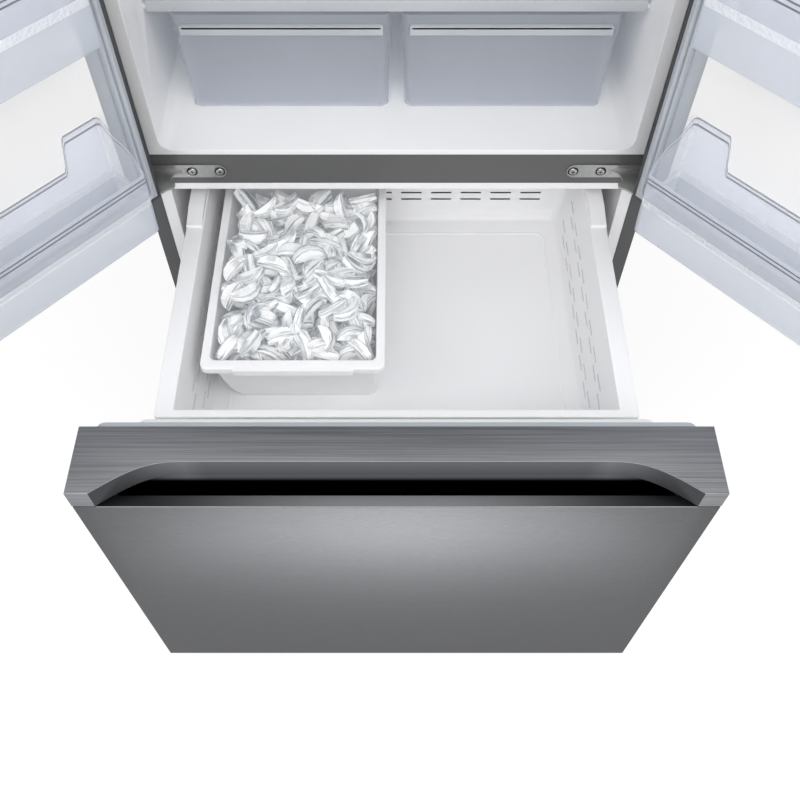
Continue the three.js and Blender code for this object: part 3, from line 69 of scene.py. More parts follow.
# ---------------------------------------------------------------- the camera
PHOTO_WIDTH = 800  # pixels
FOCAL_PIXELS = 893
SENSOR_MM = 36
PITCH = math.radians(56.6)  # below the horizon
CENTRE_X_PIXELS = 396.5  # where the plane of symmetry stands in the photo
CAMERA_FORWARD = 1194  # mm, from the camera to the cabinet's front plane
CAMERA_HEIGHT = 1837.6


def photo_camera():
    """Looks down on the pulled-out drawer from in front of it, as the photo does."""
    data = bpy.data.cameras.new("photo_camera")
    data.lens = FOCAL_PIXELS / PHOTO_WIDTH * SENSOR_MM
    data.sensor_width = SENSOR_MM
    data.shift_x = (PHOTO_WIDTH / 2 - CENTRE_X_PIXELS) / PHOTO_WIDTH
    data.clip_start = 0.01
    camera = bpy.data.objects.new("photo_camera", data)
    camera.location = (0, -(ROW_Y + CAMERA_FORWARD) * MM, CAMERA_HEIGHT * MM)
    camera.rotation_euler = (math.pi / 2 - PITCH, 0, 0)
    bpy.context.scene.collection.objects.link(camera)
    bpy.context.scene.camera = camera


photo_camera()


# ---------------------------------------------------------------- colours and nodes
def linear(sheet):
    """An sRGB hex colour as the linear values that a shader takes."""
    values = [int(sheet[i : i + 2], 16) / 255 for i in (1, 3, 5)]
    return [v / 12.92 if v <= 0.04045 else ((v + 0.055) / 1.055) ** 2.4 for v in values] + [1.0]


def cells(millimetres):
    """The scale of a pattern in metres whose cells are so many millimetres wide."""
    return 1 / (millimetres * MM)


def add(tree, kind, settings=None, **links):
    """Adds a node: settings are its properties or the defaults of its inputs, links its inputs."""
    node = tree.nodes.new("ShaderNode" + kind)
    for name, value in (settings or {}).items():
        if isinstance(name, int) or name in node.inputs:
            node.inputs[name].default_value = value
        else:
            setattr(node, name, value)
    for name, source in links.items():
        tree.links.new(source, node.inputs[name.replace("_", " ")])
    return node


def feed(tree, node, *values):
    """Feeds a node's inputs in turn: a number is set, and another node's result is linked."""
    for socket, value in zip(node.inputs, values):
        if isinstance(value, (int, float)):
            socket.default_value = value
        else:
            tree.links.new(value, socket)
    return node.outputs[0]


def reckoned(tree, operation, *values):
    """The result of an operation on numbers and other nodes' results."""
    return feed(tree, add(tree, "Math", {"operation": operation}), *values)


def blended(tree, share, first, second):
    """Two shaders, of which the second has the share and the first the rest."""
    return feed(tree, add(tree, "MixShader"), share, first, second)


def cover(tree, shader):
    """Makes a shader the material's surface."""
    tree.links.new(shader, tree.nodes["Material Output"].inputs["Surface"])


def finish_of(name, **shader):
    """A new material with its Principled shader, returned with the node tree and that shader."""
    made = bpy.data.materials.new(name)
    made.use_nodes = True
    tree = made.node_tree
    principled = tree.nodes["Principled BSDF"]
    for key, value in shader.items():
        principled.inputs[key.replace("_", " ")].default_value = value
    return made, tree, principled


def pattern_space(tree, stretch=(1, 1, 1)):
    """Object coordinates in metres, stretched."""
    place = add(tree, "TexCoord")
    return add(tree, "Mapping", {"Scale": stretch}, Vector=place.outputs["Object"]).outputs["Vector"]


def mixed(tree, factor, low, high, start=0.0, end=1.0):
    """Two colours mixed by a factor between two of its values."""
    ramp = add(tree, "ValToRGB", Fac=factor)
    for element, colour, position in zip(ramp.color_ramp.elements, (low, high), (start, end)):
        element.color, element.position = colour, position
    return ramp.outputs["Color"]


def from_middle(tree, place):
    """How far a point stands from the refrigerator's middle plane."""
    return reckoned(tree, "ABSOLUTE", place.outputs["X"])


def relief(tree, principled, height, millimetres):
    """Bumps the shader's normal by a height pattern that is so many millimetres deep."""
    bump = add(tree, "Bump", {"Distance": millimetres * MM, "Strength": 1.0}, Height=height)
    tree.links.new(bump.outputs["Normal"], principled.inputs["Normal"])


# ---------------------------------------------------------------- finishes
def brushed_steel(
    name, dark, light, roughness=0.36, grain_mm=0.9, relief_mm=0.012, length=28, cloud=0.3
):
    """Ferritic stainless steel with a dark clear coat, brushed along its width.

    The belt leaves hair lines that smear reflections across them; they are drawn about three times
    as coarse as the real 0.3 mm so that they show. Length is how many times longer than wide a line
    is, and cloud the share of the bands that are seven times as broad."""
    made, tree, principled = finish_of(name, Metallic=1.0, Roughness=roughness)
    principled.inputs["Anisotropic"].default_value = 0.4
    principled.inputs["Specular Tint"].default_value = linear("#d0d0d0")  # the coat dulls grazing light
    across = cells(grain_mm)
    stretch = (across / length, across, across)
    hair = add(
        tree, "TexNoise", {"Scale": 1.0, "Detail": 3.0, "Roughness": 0.65},
        Vector=pattern_space(tree, stretch),
    )
    band = add(
        tree, "TexNoise", {"Scale": 1.0, "Detail": 1.0},
        Vector=pattern_space(tree, [value / 7 for value in stretch]),
    )
    fine = reckoned(tree, "MULTIPLY", hair.outputs["Fac"], 1 - cloud)
    total = reckoned(tree, "MULTIPLY_ADD", band.outputs["Fac"], cloud, fine)
    colour = mixed(tree, total, linear(dark), linear(light), 0.36, 0.64)
    tree.links.new(colour, principled.inputs["Base Color"])
    relief(tree, principled, hair.outputs["Fac"], relief_mm)
    return made


def painted_steel(name, colour, roughness=0.42, dimple_mm=1.43, peel_mm=0.004):
    """Powder-painted sheet: a satin skin with the fine orange peel of baked powder."""
    made, tree, principled = finish_of(name, Roughness=roughness, Base_Color=linear(colour))
    peel = add(tree, "TexNoise", {"Scale": cells(dimple_mm), "Detail": 2.0}, Vector=pattern_space(tree))
    relief(tree, principled, peel.outputs["Fac"], peel_mm)
    return made


def plated_steel(name, dark, light, roughness, cloud_mm=8.33, relief_mm=0.03):
    """Zinc-plated pressed steel: bright, a little cloudy, with soft drawing marks."""
    made, tree, principled = finish_of(name, Metallic=0.85, Roughness=roughness)
    cloud = add(tree, "TexNoise", {"Scale": cells(cloud_mm), "Detail": 4.0}, Vector=pattern_space(tree))
    colour = mixed(tree, cloud.outputs["Fac"], linear(dark), linear(light))
    tree.links.new(colour, principled.inputs["Base Color"])
    relief(tree, principled, cloud.outputs["Fac"], relief_mm)
    return made


def moulded_plastic(name, colour, shade, roughness, grain_mm=0.5, relief_mm=0.004, flow_mm=111):
    """Moulded or vacuum-formed plastic: an even colour with a faint flow, a fine eggshell skin."""
    made, tree, principled = finish_of(name, Roughness=roughness)
    flow = add(tree, "TexNoise", {"Scale": cells(flow_mm), "Detail": 1.0}, Vector=pattern_space(tree))
    tone = mixed(tree, flow.outputs["Fac"], linear(shade), linear(colour))
    tree.links.new(tone, principled.inputs["Base Color"])
    skin = add(tree, "TexNoise", {"Scale": cells(grain_mm), "Detail": 1.0}, Vector=pattern_space(tree))
    relief(tree, principled, skin.outputs["Fac"], relief_mm)
    return made


def clear_plastic(name, colour, clear, through, roughness, pearl_mm=0.0, pebble_mm=4.55):
    """Pale moulded styrene: one share of the light passes straight through its wall, another is
    scattered behind it, and the rest comes back from a glossy skin.

    Clear and through are the two shares. Pebbles as wide as pebble_mm are pearl_mm deep."""
    made, tree, principled = finish_of(name, Roughness=roughness, Base_Color=linear(colour))
    if pearl_mm:
        pebbles = add(tree, "TexVoronoi", {"Scale": cells(pebble_mm)}, Vector=pattern_space(tree))
        relief(tree, principled, pebbles.outputs["Distance"], pearl_mm)
    behind = add(tree, "BsdfTranslucent", {"Color": linear(colour)})
    straight = add(tree, "BsdfTransparent", {"Color": linear("#fcfdff")})
    soft = blended(tree, through, principled.outputs["BSDF"], behind.outputs["BSDF"])
    cover(tree, blended(tree, clear, soft, straight.outputs["BSDF"]))
    return made


def ice_body(name, glass, colour, streak_and_reflection, relief_mm=2.5, glow=0.09):
    """Ice from a household ice maker: white, with grey streaks along each piece that stand partly for fine
    bubbles and partly as painted reflections inside the ice.

    Its own attribute holds a place along the piece, round it and by piece. Glass is the share
    through which what lies behind shows, and the glow is painted light: an emission that stands for light
    led in from elsewhere."""
    made, tree, principled = finish_of(name, Roughness=0.06, IOR=1.31)
    grain = add(tree, "Attribute", {"attribute_name": "ice_grain"})
    flow = add(
        tree, "TexNoise", {"Scale": 1.0, "Detail": 4.0, "Roughness": 0.6}, Vector=grain.outputs["Vector"]
    )
    tone = mixed(tree, flow.outputs["Fac"], linear(streak_and_reflection), linear(colour), 0.34, 0.52)
    tree.links.new(tone, principled.inputs["Base Color"])
    # painted light: the ice glows in its own colour
    tree.links.new(tone, principled.inputs["Emission Color"])
    principled.inputs["Emission Strength"].default_value = glow
    relief(tree, principled, flow.outputs["Fac"], relief_mm)
    clear = add(tree, "BsdfTransparent", {"Color": linear("#f4f8fa")})
    cover(tree, blended(tree, glass, principled.outputs["BSDF"], clear.outputs["BSDF"]))
    return made


# painted light on the pocket's wall, by metres from the middle: a painted highlight on its turns and
# painted shade towards the ends of its mouth
POCKET_PAINTED_LIGHT = ((0.0, 0.38), (0.27, 0.38), (0.3, 0.52), (0.335, 0.4), (0.372, 0.2), (0.39, 0.16))


def pocket_painted_shade(name, upper, lower, top_mm, bottom_mm):
    """The pocket's wall: satin dark plastic with painted shade that runs to black lower down, where no
    light reaches it, a painted highlight on its turns and painted shade at both ends of its mouth."""
    made, tree, principled = finish_of(name, Roughness=0.42)
    principled.inputs["Specular IOR Level"].default_value = 0.0
    place = add(tree, "SeparateXYZ", Vector=pattern_space(tree))
    share = add(
        tree, "MapRange",
        {"From Min": bottom_mm * MM, "From Max": top_mm * MM, "interpolation_type": "SMOOTHSTEP"},
        Value=place.outputs["Z"],
    )
    # painted shade: the colour runs to black towards the bottom
    tone = mixed(tree, share.outputs["Result"], linear(lower), linear(upper))
    # a painted highlight on the turns and painted shade at the ends, by distance from the middle
    turn = add(tree, "ValToRGB", Fac=from_middle(tree, place))
    stops = turn.color_ramp.elements
    stops.remove(stops[1])
    for number, (position, level) in enumerate(POCKET_PAINTED_LIGHT):
        stop = stops[0] if number == 0 else stops.new(position)
        stop.position, stop.color = position, (level, level, level, 1)
    shaded = add(tree, "Mix", {"data_type": "RGBA", "blend_type": "MULTIPLY", 0: 1.0})
    tree.links.new(tone, shaded.inputs[6])
    tree.links.new(turn.outputs["Color"], shaded.inputs[7])
    tree.links.new(shaded.outputs[2], principled.inputs["Base Color"])
    return made


def lip_steel_painted_shade(name, ends, middle, start_mm, end_mm):
    """The folded lip inside the pocket: the steel's own grain, with painted shade that darkens it towards
    its ends, where the pocket's curved walls would shade it, from one distance from the middle to another."""
    made = brushed_steel(name, middle, middle)
    tree = made.node_tree
    place = add(tree, "SeparateXYZ", Vector=pattern_space(tree))
    share = add(
        tree, "MapRange",
        {"From Min": start_mm * MM, "From Max": end_mm * MM, "interpolation_type": "SMOOTHSTEP"},
        Value=from_middle(tree, place),
    )
    # painted shade towards the ends
    tone = mixed(tree, share.outputs["Result"], linear(middle), linear(ends))
    tree.links.new(tone, tree.nodes["Principled BSDF"].inputs["Base Color"])
    return made


FINISH = {
    # dull level hair lines and one wide soft glow
    "dark_stainless": brushed_steel(
        "brushed_dark_stainless", "#5a5b5d", "#666769", roughness=0.48, relief_mm=0.01, length=14, cloud=0.1
    ),
    # lighter, with long coarse lines that run its whole width
    "cap_stainless": brushed_steel(
        "brushed_stainless_cap", "#76777a", "#909194", roughness=0.45, grain_mm=1.8, relief_mm=0.005,
        length=160, cloud=0.08,
    ),
    # flat dark greys with a satin skin
    "painted_side": painted_steel("powder_painted_side", "#4c4e50"),
    "rail_paint": painted_steel("painted_rail", "#5d5d5d", 0.36),
    # mottled pale greys that shine softly
    "galvanised": plated_steel("galvanised_sheet", "#8f9496", "#b4b9bb", 0.42),
    "zinc": plated_steel("zinc_plated_steel", "#a4a4a2", "#bababa", 0.3),
    "aluminium_fins": plated_steel("bare_aluminium_fins", "#a9adb1", "#c9cdd1", 0.35),
    # a matt straw-coloured foam with open cells
    "insulation": moulded_plastic("polyurethane_foam", "#e8dcb4", "#dccb98", 0.9, 1.5, 0.2),
    # even whites with a low gloss, the doors' a little warmer
    "foamed_liner": moulded_plastic("vacuum_formed_abs", "#f8f7f6", "#f4f3f2", 0.3),
    "white_liner": moulded_plastic("white_liner_abs", "#f8f8f9", "#f5f5f6", 0.28),
    "white_bin": moulded_plastic("white_bin_polystyrene", "#fafafb", "#f8f8f9", 0.3),
    # a bluish veil over what stands behind it
    "clear_bin": clear_plastic("bluish_clear_styrene", "#f2f4fa", 0.72, 0.42, 0.16),
    # clear with a green cast
    "shelf_glass": clear_plastic("tempered_glass", "#e9f3f0", 0.7, 0.2, 0.02),
    # a soft grey skin without gloss
    "gasket": moulded_plastic("soft_gasket_vinyl", "#bcc1c7", "#b5bac1", 0.55),
    # white with grey streaks that are partly painted reflections, wet highlights and a faint painted glow
    "ice": ice_body("bubbly_ice", 0.1, "#ffffff", "#9aa0a7"),
    # near black, matt on the plastic and glossy on the steel
    "black_plastic": moulded_plastic("black_polypropylene", "#1c1d1f", "#17181a", 0.5),
    "black_steel": painted_steel("black_enamelled_steel", "#1c1d1f", 0.3),
}
# finishes of single faces: painted shadow in the open slots, and in the pressed ones painted shade a little
# under the wall's white
SLOT_SHADOW = moulded_plastic("slot_shadow_plastic", "#4c4d50", "#444548", 0.7)
SLOT_PAINTED_SHADE = moulded_plastic("slot_painted_shade_polystyrene", "#d6d7da", "#cfd0d4", 0.5)
# the grip pocket: painted shade from grey at its edge to black inside, black painted shadow in the seams at
# its ends, and painted shade on its steel lip towards both ends
POCKET_PAINTED_SHADE = pocket_painted_shade("pocket_plastic_painted_shade", "#9a9ca1", "#010101", top_mm=709, bottom_mm=695)
SEAM_PAINTED_SHADOW = moulded_plastic("seam_painted_shadow_plastic", "#010102", "#020203", 0.95)
LIP_STEEL_PAINTED_SHADE = lip_steel_painted_shade("brushed_lip_stainless_painted_shade", "#2b2d2f", "#7c7e80", start_mm=40, end_mm=370)
# painted highlights: thin lines of light on edges
PAINTED_HIGHLIGHT_EDGE = plated_steel("painted_highlight_edge", "#8f9092", "#a6a7a9", 0.3)
SOFT_PAINTED_HIGHLIGHT = plated_steel("soft_painted_highlight_edge", "#7c7d80", "#8f9093", 0.42)
# painted reflections: grey lines along the pieces' rims stand for light turned back inside the clear ice
RIM_PAINTED_REFLECTION = ice_body("ice_rim_painted_reflection", 0.3, "#e6eaed", "#8b9197")
# small fittings: a ring of painted shadow, satin grey strips and an even white lens
SCREW_PAINTED_SHADOW = moulded_plastic("shaded_screw_seat", "#77787a", "#6e6f71", 0.5)
TRIM = moulded_plastic("satin_grey_trim", "#c3c6ca", "#b9bcc1", 0.28)
LAMP_LENS = moulded_plastic("lamp_lens_polycarbonate", "#fafafa", "#f4f4f4", 0.2)


# ---------------------------------------------------------------- pieces
SHARP_DEGREES = 35  # edges that turn by less are shaded smooth


def shown(mesh, name, body, slot, material=None, smooth_degrees=SHARP_DEGREES):
    """Links a mesh as a piece that rides on a body and takes a finish."""
    piece = bpy.data.objects.new(name, mesh)
    bpy.context.scene.collection.objects.link(piece)
    if not mesh.materials:
        mesh.materials.append(material or FINISH[slot])
    mesh.shade_smooth()
    mesh.set_sharp_from_angle(angle=math.radians(smooth_degrees))
    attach(piece, body)
    return piece


def bevelled(piece, millimetres, segments=2):
    """Rolls a piece's sharp edges to a radius in millimetres."""
    bevel = piece.modifiers.new("rolled_edge", "BEVEL")
    bevel.width = millimetres * MM
    bevel.segments = segments
    bevel.limit_method = "ANGLE"
    bevel.angle_limit = math.radians(SHARP_DEGREES)
    bevel.harden_normals = True
    return piece


def merged_copy(node):
    """A CAD node's mesh with its loose triangles joined and its flat faces whole.

    Points closer than a hundredth of a millimetre are one, and faces within 0.4 degrees are flat."""
    mesh = frame["nodes"][node].data.copy()
    mesh.materials.clear()
    work = bmesh.new()
    work.from_mesh(mesh)
    bmesh.ops.remove_doubles(work, verts=work.verts, dist=0.01 * MM)
    bmesh.ops.dissolve_limit(
        work, angle_limit=math.radians(0.4), verts=work.verts, edges=work.edges, delimit={"NORMAL"}
    )
    work.to_mesh(mesh)
    work.free()
    mesh.name = node
    return mesh


def rolled(node, millimetres):
    """Shows a CAD node through a copy with rolled edges."""
    piece = shown(merged_copy(node), node + "_shown", BODY_OF[node], SLOT_OF[node])
    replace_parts(bevelled(piece, millimetres), node)


# Places are in millimetres from the cabinet's front plane, and a placing function takes them to
# where the piece stands at rest.
def still(points):
    """On the cabinet."""
    return (np.asarray(points, float) - (0, ROW_Y, 0)) * MM


def pulled(points):
    """On the drawer, which stands pulled out."""
    return (np.asarray(points, float) - (0, ROW_Y + TRAVEL, 0)) * MM


def swung(side):
    """On a door, drawn closed on the right and hung open on either side."""

    def place(points):
        """Turns places about the hinge's axis, and mirrors them on the left."""
        x, y, z = np.moveaxis(np.asarray(points, float), -1, 0)
        dx, dy = x - HINGE_AXIS_X, y - HINGE_AXIS_Y
        cos, sin = math.cos(DOOR_OPEN), math.sin(DOOR_OPEN)
        across = HINGE_AXIS_X + dx * cos - dy * sin
        along = HINGE_AXIS_Y + dx * sin + dy * cos - ROW_Y
        return np.stack([side * across, along, z], axis=-1) * MM

    return place


def shut(points, side):
    """World places on an open door, taken back to where they are with it closed on the right."""
    x, y, z = np.moveaxis(np.asarray(points, float) / MM, -1, 0)
    dx, dy = side * x - HINGE_AXIS_X, y + ROW_Y - HINGE_AXIS_Y
    cos, sin = math.cos(DOOR_OPEN), math.sin(DOOR_OPEN)
    across, along = HINGE_AXIS_X + dx * cos + dy * sin, HINGE_AXIS_Y - dx * sin + dy * cos
    return np.stack([across, along, z], axis=-1)


def face_centres(mesh):
    """The middle of each face, in metres."""
    centres = np.empty(len(mesh.polygons) * 3)
    mesh.polygons.foreach_get("center", centres)
    return centres.reshape(-1, 3)


def finished(mesh, materials, index):
    """Gives a mesh its materials and each face the number of its own."""
    for material in materials:
        mesh.materials.append(material)
    mesh.polygons.foreach_set("material_index", np.asarray(index).ravel().astype("i4"))
    return mesh


def mesh_of(name, points, faces):
    """A mesh from any grid of points and faces that are lists of their numbers."""
    mesh = bpy.data.meshes.new(name)
    mesh.from_pydata(np.asarray(points).reshape(-1, 3).tolist(), [], [tuple(face) for face in faces])
    mesh.validate()
    return mesh


def outward(mesh):
    """Turns a closed mesh's faces so that they look out."""
    work = bmesh.new()
    work.from_mesh(mesh)
    bmesh.ops.recalc_face_normals(work, faces=work.faces)
    work.to_mesh(mesh)
    work.free()
    return mesh


def grid_faces(levels, around):
    """Faces of four corners on a grid whose rows are levels and whose columns go round."""
    level = np.arange(levels - 1)[:, None]
    column = np.arange(around)[None, :]
    following = (column + 1) % around
    quads = np.stack(
        [
            level * around + column, level * around + following,
            (level + 1) * around + following, (level + 1) * around + column,
        ],
        axis=-1,
    )
    return quads.reshape(-1, 4)


def closed_shell(name, rings, place):
    """A grid of rings from one flat end to the other, each end closed by one face, looking out."""
    rings = np.asarray(rings)
    levels, around = rings.shape[:2]
    faces = grid_faces(levels, around).tolist()
    faces.append(list(range(around))[::-1])
    faces.append(list(range((levels - 1) * around, levels * around)))
    return outward(mesh_of(name, place(rings), faces))


def corner(centre_x, centre_y, radius, start, steps):
    """Points of a quarter round a corner's centre, from an angle given in quarters."""
    angle = (start + np.linspace(0, 1, steps + 1)) * math.pi / 2
    return np.stack([centre_x + radius * np.cos(angle), centre_y + radius * np.sin(angle)], axis=-1)


def rounded_path(x0, x1, y0, y1, radius, front_radius=None, sides=(), backs=(), fronts=(), steps=6):
    """A rectangle with rounded corners, anticlockwise from its front right one.

    Sides are extra points at given Y on both sides, backs and fronts at given X on the two ends."""
    front = radius if front_radius is None else front_radius
    sides, backs, fronts = (np.asarray(extra, float) for extra in (sides, backs, fronts))
    near = np.stack([fronts, np.full(fronts.shape, y0)], axis=-1).reshape(-1, 2)
    right = np.stack([np.full(sides.shape, x1), sides], axis=-1).reshape(-1, 2)
    rear = np.stack([backs[::-1], np.full(backs.shape, y1)], axis=-1).reshape(-1, 2)
    left = np.stack([np.full(sides.shape, x0), sides[::-1]], axis=-1).reshape(-1, 2)
    return np.concatenate(
        [
            corner(x1 - front, y0 + front, front, -1, steps), right,
            corner(x1 - radius, y1 - radius, radius, 0, steps), rear,
            corner(x0 + radius, y1 - radius, radius, 1, steps), left,
            corner(x0 + front, y0 + front, front, 2, steps), near,
        ]
    )


def lifted(path, z):
    """A plane path as points at the height z, one number or one a point."""
    height = np.broadcast_to(np.asarray(z, float), path.shape[:1])
    return np.concatenate([path, height[:, None]], axis=1)


def outward_normals(path):
    """Unit normals of a closed plane path, stretched at its corners so that offsets stay parallel."""
    ahead = np.roll(path, -1, axis=0) - path
    ahead /= np.linalg.norm(ahead, axis=1, keepdims=True)
    tangent = ahead + np.roll(ahead, 1, axis=0)
    tangent /= np.linalg.norm(tangent, axis=1, keepdims=True)
    normal = np.stack([tangent[:, 1], -tangent[:, 0]], axis=-1)
    return normal / np.maximum((tangent * ahead).sum(axis=1, keepdims=True), 0.5)


def on_plane(flat, across, plane):
    """Points of a plane path at places across it: the path lies in X and Y, or in X and Z."""
    across = np.broadcast_to(across, flat.shape[:-1])
    second, third = (flat[..., 1], across) if plane == "xy" else (across, flat[..., 1])
    return np.stack([flat[..., 0], second, third], axis=-1)


def quarter_roll(radius, steps):
    """Pairs of radius (1 - sin a) and radius (1 - cos a), for a quarter turn of a."""
    a = np.linspace(0, 1, steps + 1) * math.pi / 2
    return np.stack([radius * (1 - np.sin(a)), radius * (1 - np.cos(a))], axis=-1)


def rolled_rings(path, low, high, roll):
    """Rings of a level plate with rolled edges: the path offset inwards at heights near a face."""
    inwards, off_face = quarter_roll(roll, 3).T
    inset = np.concatenate([inwards, inwards[::-1]])
    level = np.concatenate([low + off_face, high - off_face[::-1]])
    flat = path[None, :, :] - outward_normals(path)[None, :, :] * inset[:, None, None]
    return on_plane(flat, level[:, None], "xy")


def swept(name, path, profile, place, plane="xz"):
    """A closed profile carried round a closed plane path.

    Point (i, j) is path[i] + n[i] * profile[j, 0] in the plane, with n[i] the outward normal, and
    profile[j, 1] across it. The path lies in X and Z, with Y across it, or in X and Y."""
    flat = path[:, None, :] + outward_normals(path)[:, None, :] * profile[None, :, :1]
    points = on_plane(flat, profile[None, :, 1], plane)
    count, around = points.shape[:2]
    faces = grid_faces(count, around)
    seam = np.arange(around)
    last = (count - 1) * around
    seam_faces = np.stack([last + seam, last + (seam + 1) % around, (seam + 1) % around, seam], axis=-1)
    return outward(mesh_of(name, place(points), np.concatenate([faces, seam_faces]).tolist()))


def bezier(p0, p1, p2, p3, count=24):
    """A cubic curve: (1-t)^3 p0 + 3 (1-t)^2 t p1 + 3 (1-t) t^2 p2 + t^3 p3."""
    p0, p1, p2, p3 = (np.array(point) for point in (p0, p1, p2, p3))
    t = np.linspace(0, 1, count)[:, None]
    return (1 - t) ** 3 * p0 + 3 * (1 - t) ** 2 * t * p1 + 3 * (1 - t) * t**2 * p2 + t**3 * p3


def bead(name, path, radius, place, body, slot, material):
    """A round bead along an open path: each ring is a circle across the path's direction."""
    path, sides = np.asarray(path, float), 8
    tangent = np.gradient(path, axis=0)
    tangent /= np.linalg.norm(tangent, axis=1, keepdims=True)
    up = np.where(np.abs(tangent[:, 2:3]) > 0.9, [[1.0, 0, 0]], [[0, 0, 1.0]])
    across = np.cross(tangent, up)
    across /= np.linalg.norm(across, axis=1, keepdims=True)
    over = np.cross(across, tangent)
    angle = (np.arange(sides) * 2 * math.pi / sides)[None, :, None]
    spoke = across[:, None, :] * np.cos(angle) + over[:, None, :] * np.sin(angle)
    mesh = closed_shell(name, path[:, None, :] + radius * spoke, place)
    shown(mesh, name, body, slot, material, smooth_degrees=60)


def rolled_plate(name, path, low, high, roll, body, slot, material):
    """A level plate over a plane path, its edges rolled."""
    mesh = closed_shell(name, rolled_rings(path, low, high, roll), still)
    shown(mesh, name, body, slot, material, smooth_degrees=40)


def on_side(side, near, far):
    """The lower and the upper X of a stretch that runs outwards on one side."""
    return sorted((side * near, side * far))


def block(name, x0, x1, y0, y1, z0, z1, place):
    """A plain box, to be bevelled."""
    xs, ys, zs = np.meshgrid((x0, x1), (y0, y1), (z0, z1), indexing="ij")
    points = np.stack([xs, ys, zs], axis=-1).reshape(-1, 3)
    faces = [(0, 1, 3, 2), (4, 6, 7, 5), (0, 4, 5, 1), (2, 3, 7, 6), (0, 2, 6, 4), (1, 5, 7, 3)]
    return outward(mesh_of(name, place(points), faces))


def joined(name, meshes):
    """Several closed meshes as one."""
    work = bmesh.new()
    for mesh in meshes:
        work.from_mesh(mesh)
    whole = bpy.data.meshes.new(name)
    work.to_mesh(whole)
    work.free()
    return whole


def turned(name, profile, centre, place):
    """A profile of (radius, height) pairs turned about a line along Y through a centre.

    At angle a the point of radius r and height h is (r sin a, h, r cos a), and both ends of the
    profile are closed by one face."""
    profile, sides = np.asarray(profile, float), 24
    angle = np.arange(sides) * 2 * math.pi / sides
    radial = np.stack([np.cos(angle), np.sin(angle)], axis=-1)
    u = profile[:, None, 0] * radial[None, :, 0]
    v = profile[:, None, 0] * radial[None, :, 1]
    w = np.broadcast_to(profile[:, None, 1], u.shape)
    points = np.stack([v, w, u], axis=-1) + np.asarray(centre, float)
    return closed_shell(name, points, place)


# ---------------------------------------------------------------- the drawer's upper bin
BIN_RIM, BIN_FLOOR, BIN_WALL = 676.6, 528.0, 2.5
BIN_MOUTH = (-345, 345, 67.3, 645)  # x0, x1, y0, y1 of the inner edge at the rim
BIN_BOTTOM = (-322, 322, 90, 622)
BIN_OUTER = (-375, 375, 53.3, 658)
# radii of the rear and of the front corners
FLOOR_CORNERS, WALL_CORNERS, MOUTH_CORNERS, OUTER_CORNERS = (14, 10), (14, 4), (12, 3), (22, 6)
SHOULDER_INNER = 347
SHOULDER_ALONG, SHOULDER_LIFT = (454, 454.8, 496), (0, 4, 11)  # a short step, then a slope
REAR_SLOTS, REAR_SLOT_PITCH, REAR_SLOT_LONG = 10, 58.8, 40
SIDE_SLOTS, SIDE_SLOT_PITCH, SIDE_SLOT_LONG, SIDE_SLOT_START = 8, 58, 34, 112
SIDE_SLOT_DEPTH = 1.0
REAR_SLOT_LEVELS, SIDE_SLOT_LEVELS, SLOT_TALL = (576, 591), (553, 566, 604, 617), 3.5


def side_slot_starts(row):
    """Y of the slots' front ends; rows are laid like bricks, half a pitch apart."""
    return SIDE_SLOT_START + SIDE_SLOT_PITCH * (np.arange(SIDE_SLOTS) + 0.5 * (row % 2))


SLOT_EDGES = np.sort(
    [z + end * SLOT_TALL / 2 for z in REAR_SLOT_LEVELS + SIDE_SLOT_LEVELS for end in (-1, 1)]
)
BIN_SIDES = np.unique(
    np.concatenate(
        [side_slot_starts(row) + end for row in (0, 1) for end in (0, SIDE_SLOT_LONG)] + [SHOULDER_ALONG]
    )
)
BIN_BACKS = np.sort(
    [
        (number - (REAR_SLOTS - 1) / 2) * REAR_SLOT_PITCH + end * REAR_SLOT_LONG / 2
        for number in range(REAR_SLOTS) for end in (-1, 1)
    ]
)


def bin_path(x0, x1, y0, y1, corners, step=None):
    """A rounded rectangle with a point at each end of every slot.

    Step is the pair of X at which the rear rim climbs to the shoulders."""
    rear, front = corners
    low, high = step or (x1 - rear - 4, x1 - rear - 1)
    backs = np.concatenate([(-high, -low), BIN_BACKS, (low, high)])
    return rounded_path(x0, x1, y0, y1, rear, front, BIN_SIDES, backs)


def bin_ring(share, grow, z, corners):
    """A level ring of the bin's wall: share 0 is at the floor, 1 at the mouth, grow is outwards."""
    low, high = np.array(BIN_BOTTOM, float), np.array(BIN_MOUTH, float)
    x0, x1, y0, y1 = low + (high - low) * share + np.array((-grow, grow, -grow, grow))
    return lifted(bin_path(x0, x1, y0, y1, [radius + grow for radius in corners]), z)


def rising(points):
    """The shoulders: on the outer half of the side rims Z steps up, then slopes up along Y."""
    lift = np.interp(points[:, 1], SHOULDER_ALONG, SHOULDER_LIFT)
    points = points.copy()
    points[:, 2] += np.where(np.abs(points[:, 0]) > SHOULDER_INNER, lift, 0)
    return points


def rim_ring(inset, z, raised):
    """A level ring of the rim, inset from its outer edge."""
    x0, x1, y0, y1 = np.array(BIN_OUTER) + np.array((inset, -inset, inset, -inset))
    step = (SHOULDER_INNER - 0.4, SHOULDER_INNER + 0.4)
    points = lifted(bin_path(x0, x1, y0, y1, [radius - inset for radius in OUTER_CORNERS], step), z)
    return rising(points) if raised else points


def shoulder_ring(inset):
    """A ring on the rim at the foot or the top of the step up to the shoulders."""
    x0, x1, y0, y1 = np.array(BIN_OUTER) + np.array((inset, -inset, 10, -inset / 20))
    return rising(lifted(bin_path(x0, x1, y0, y1, (2, 2)), BIN_RIM))


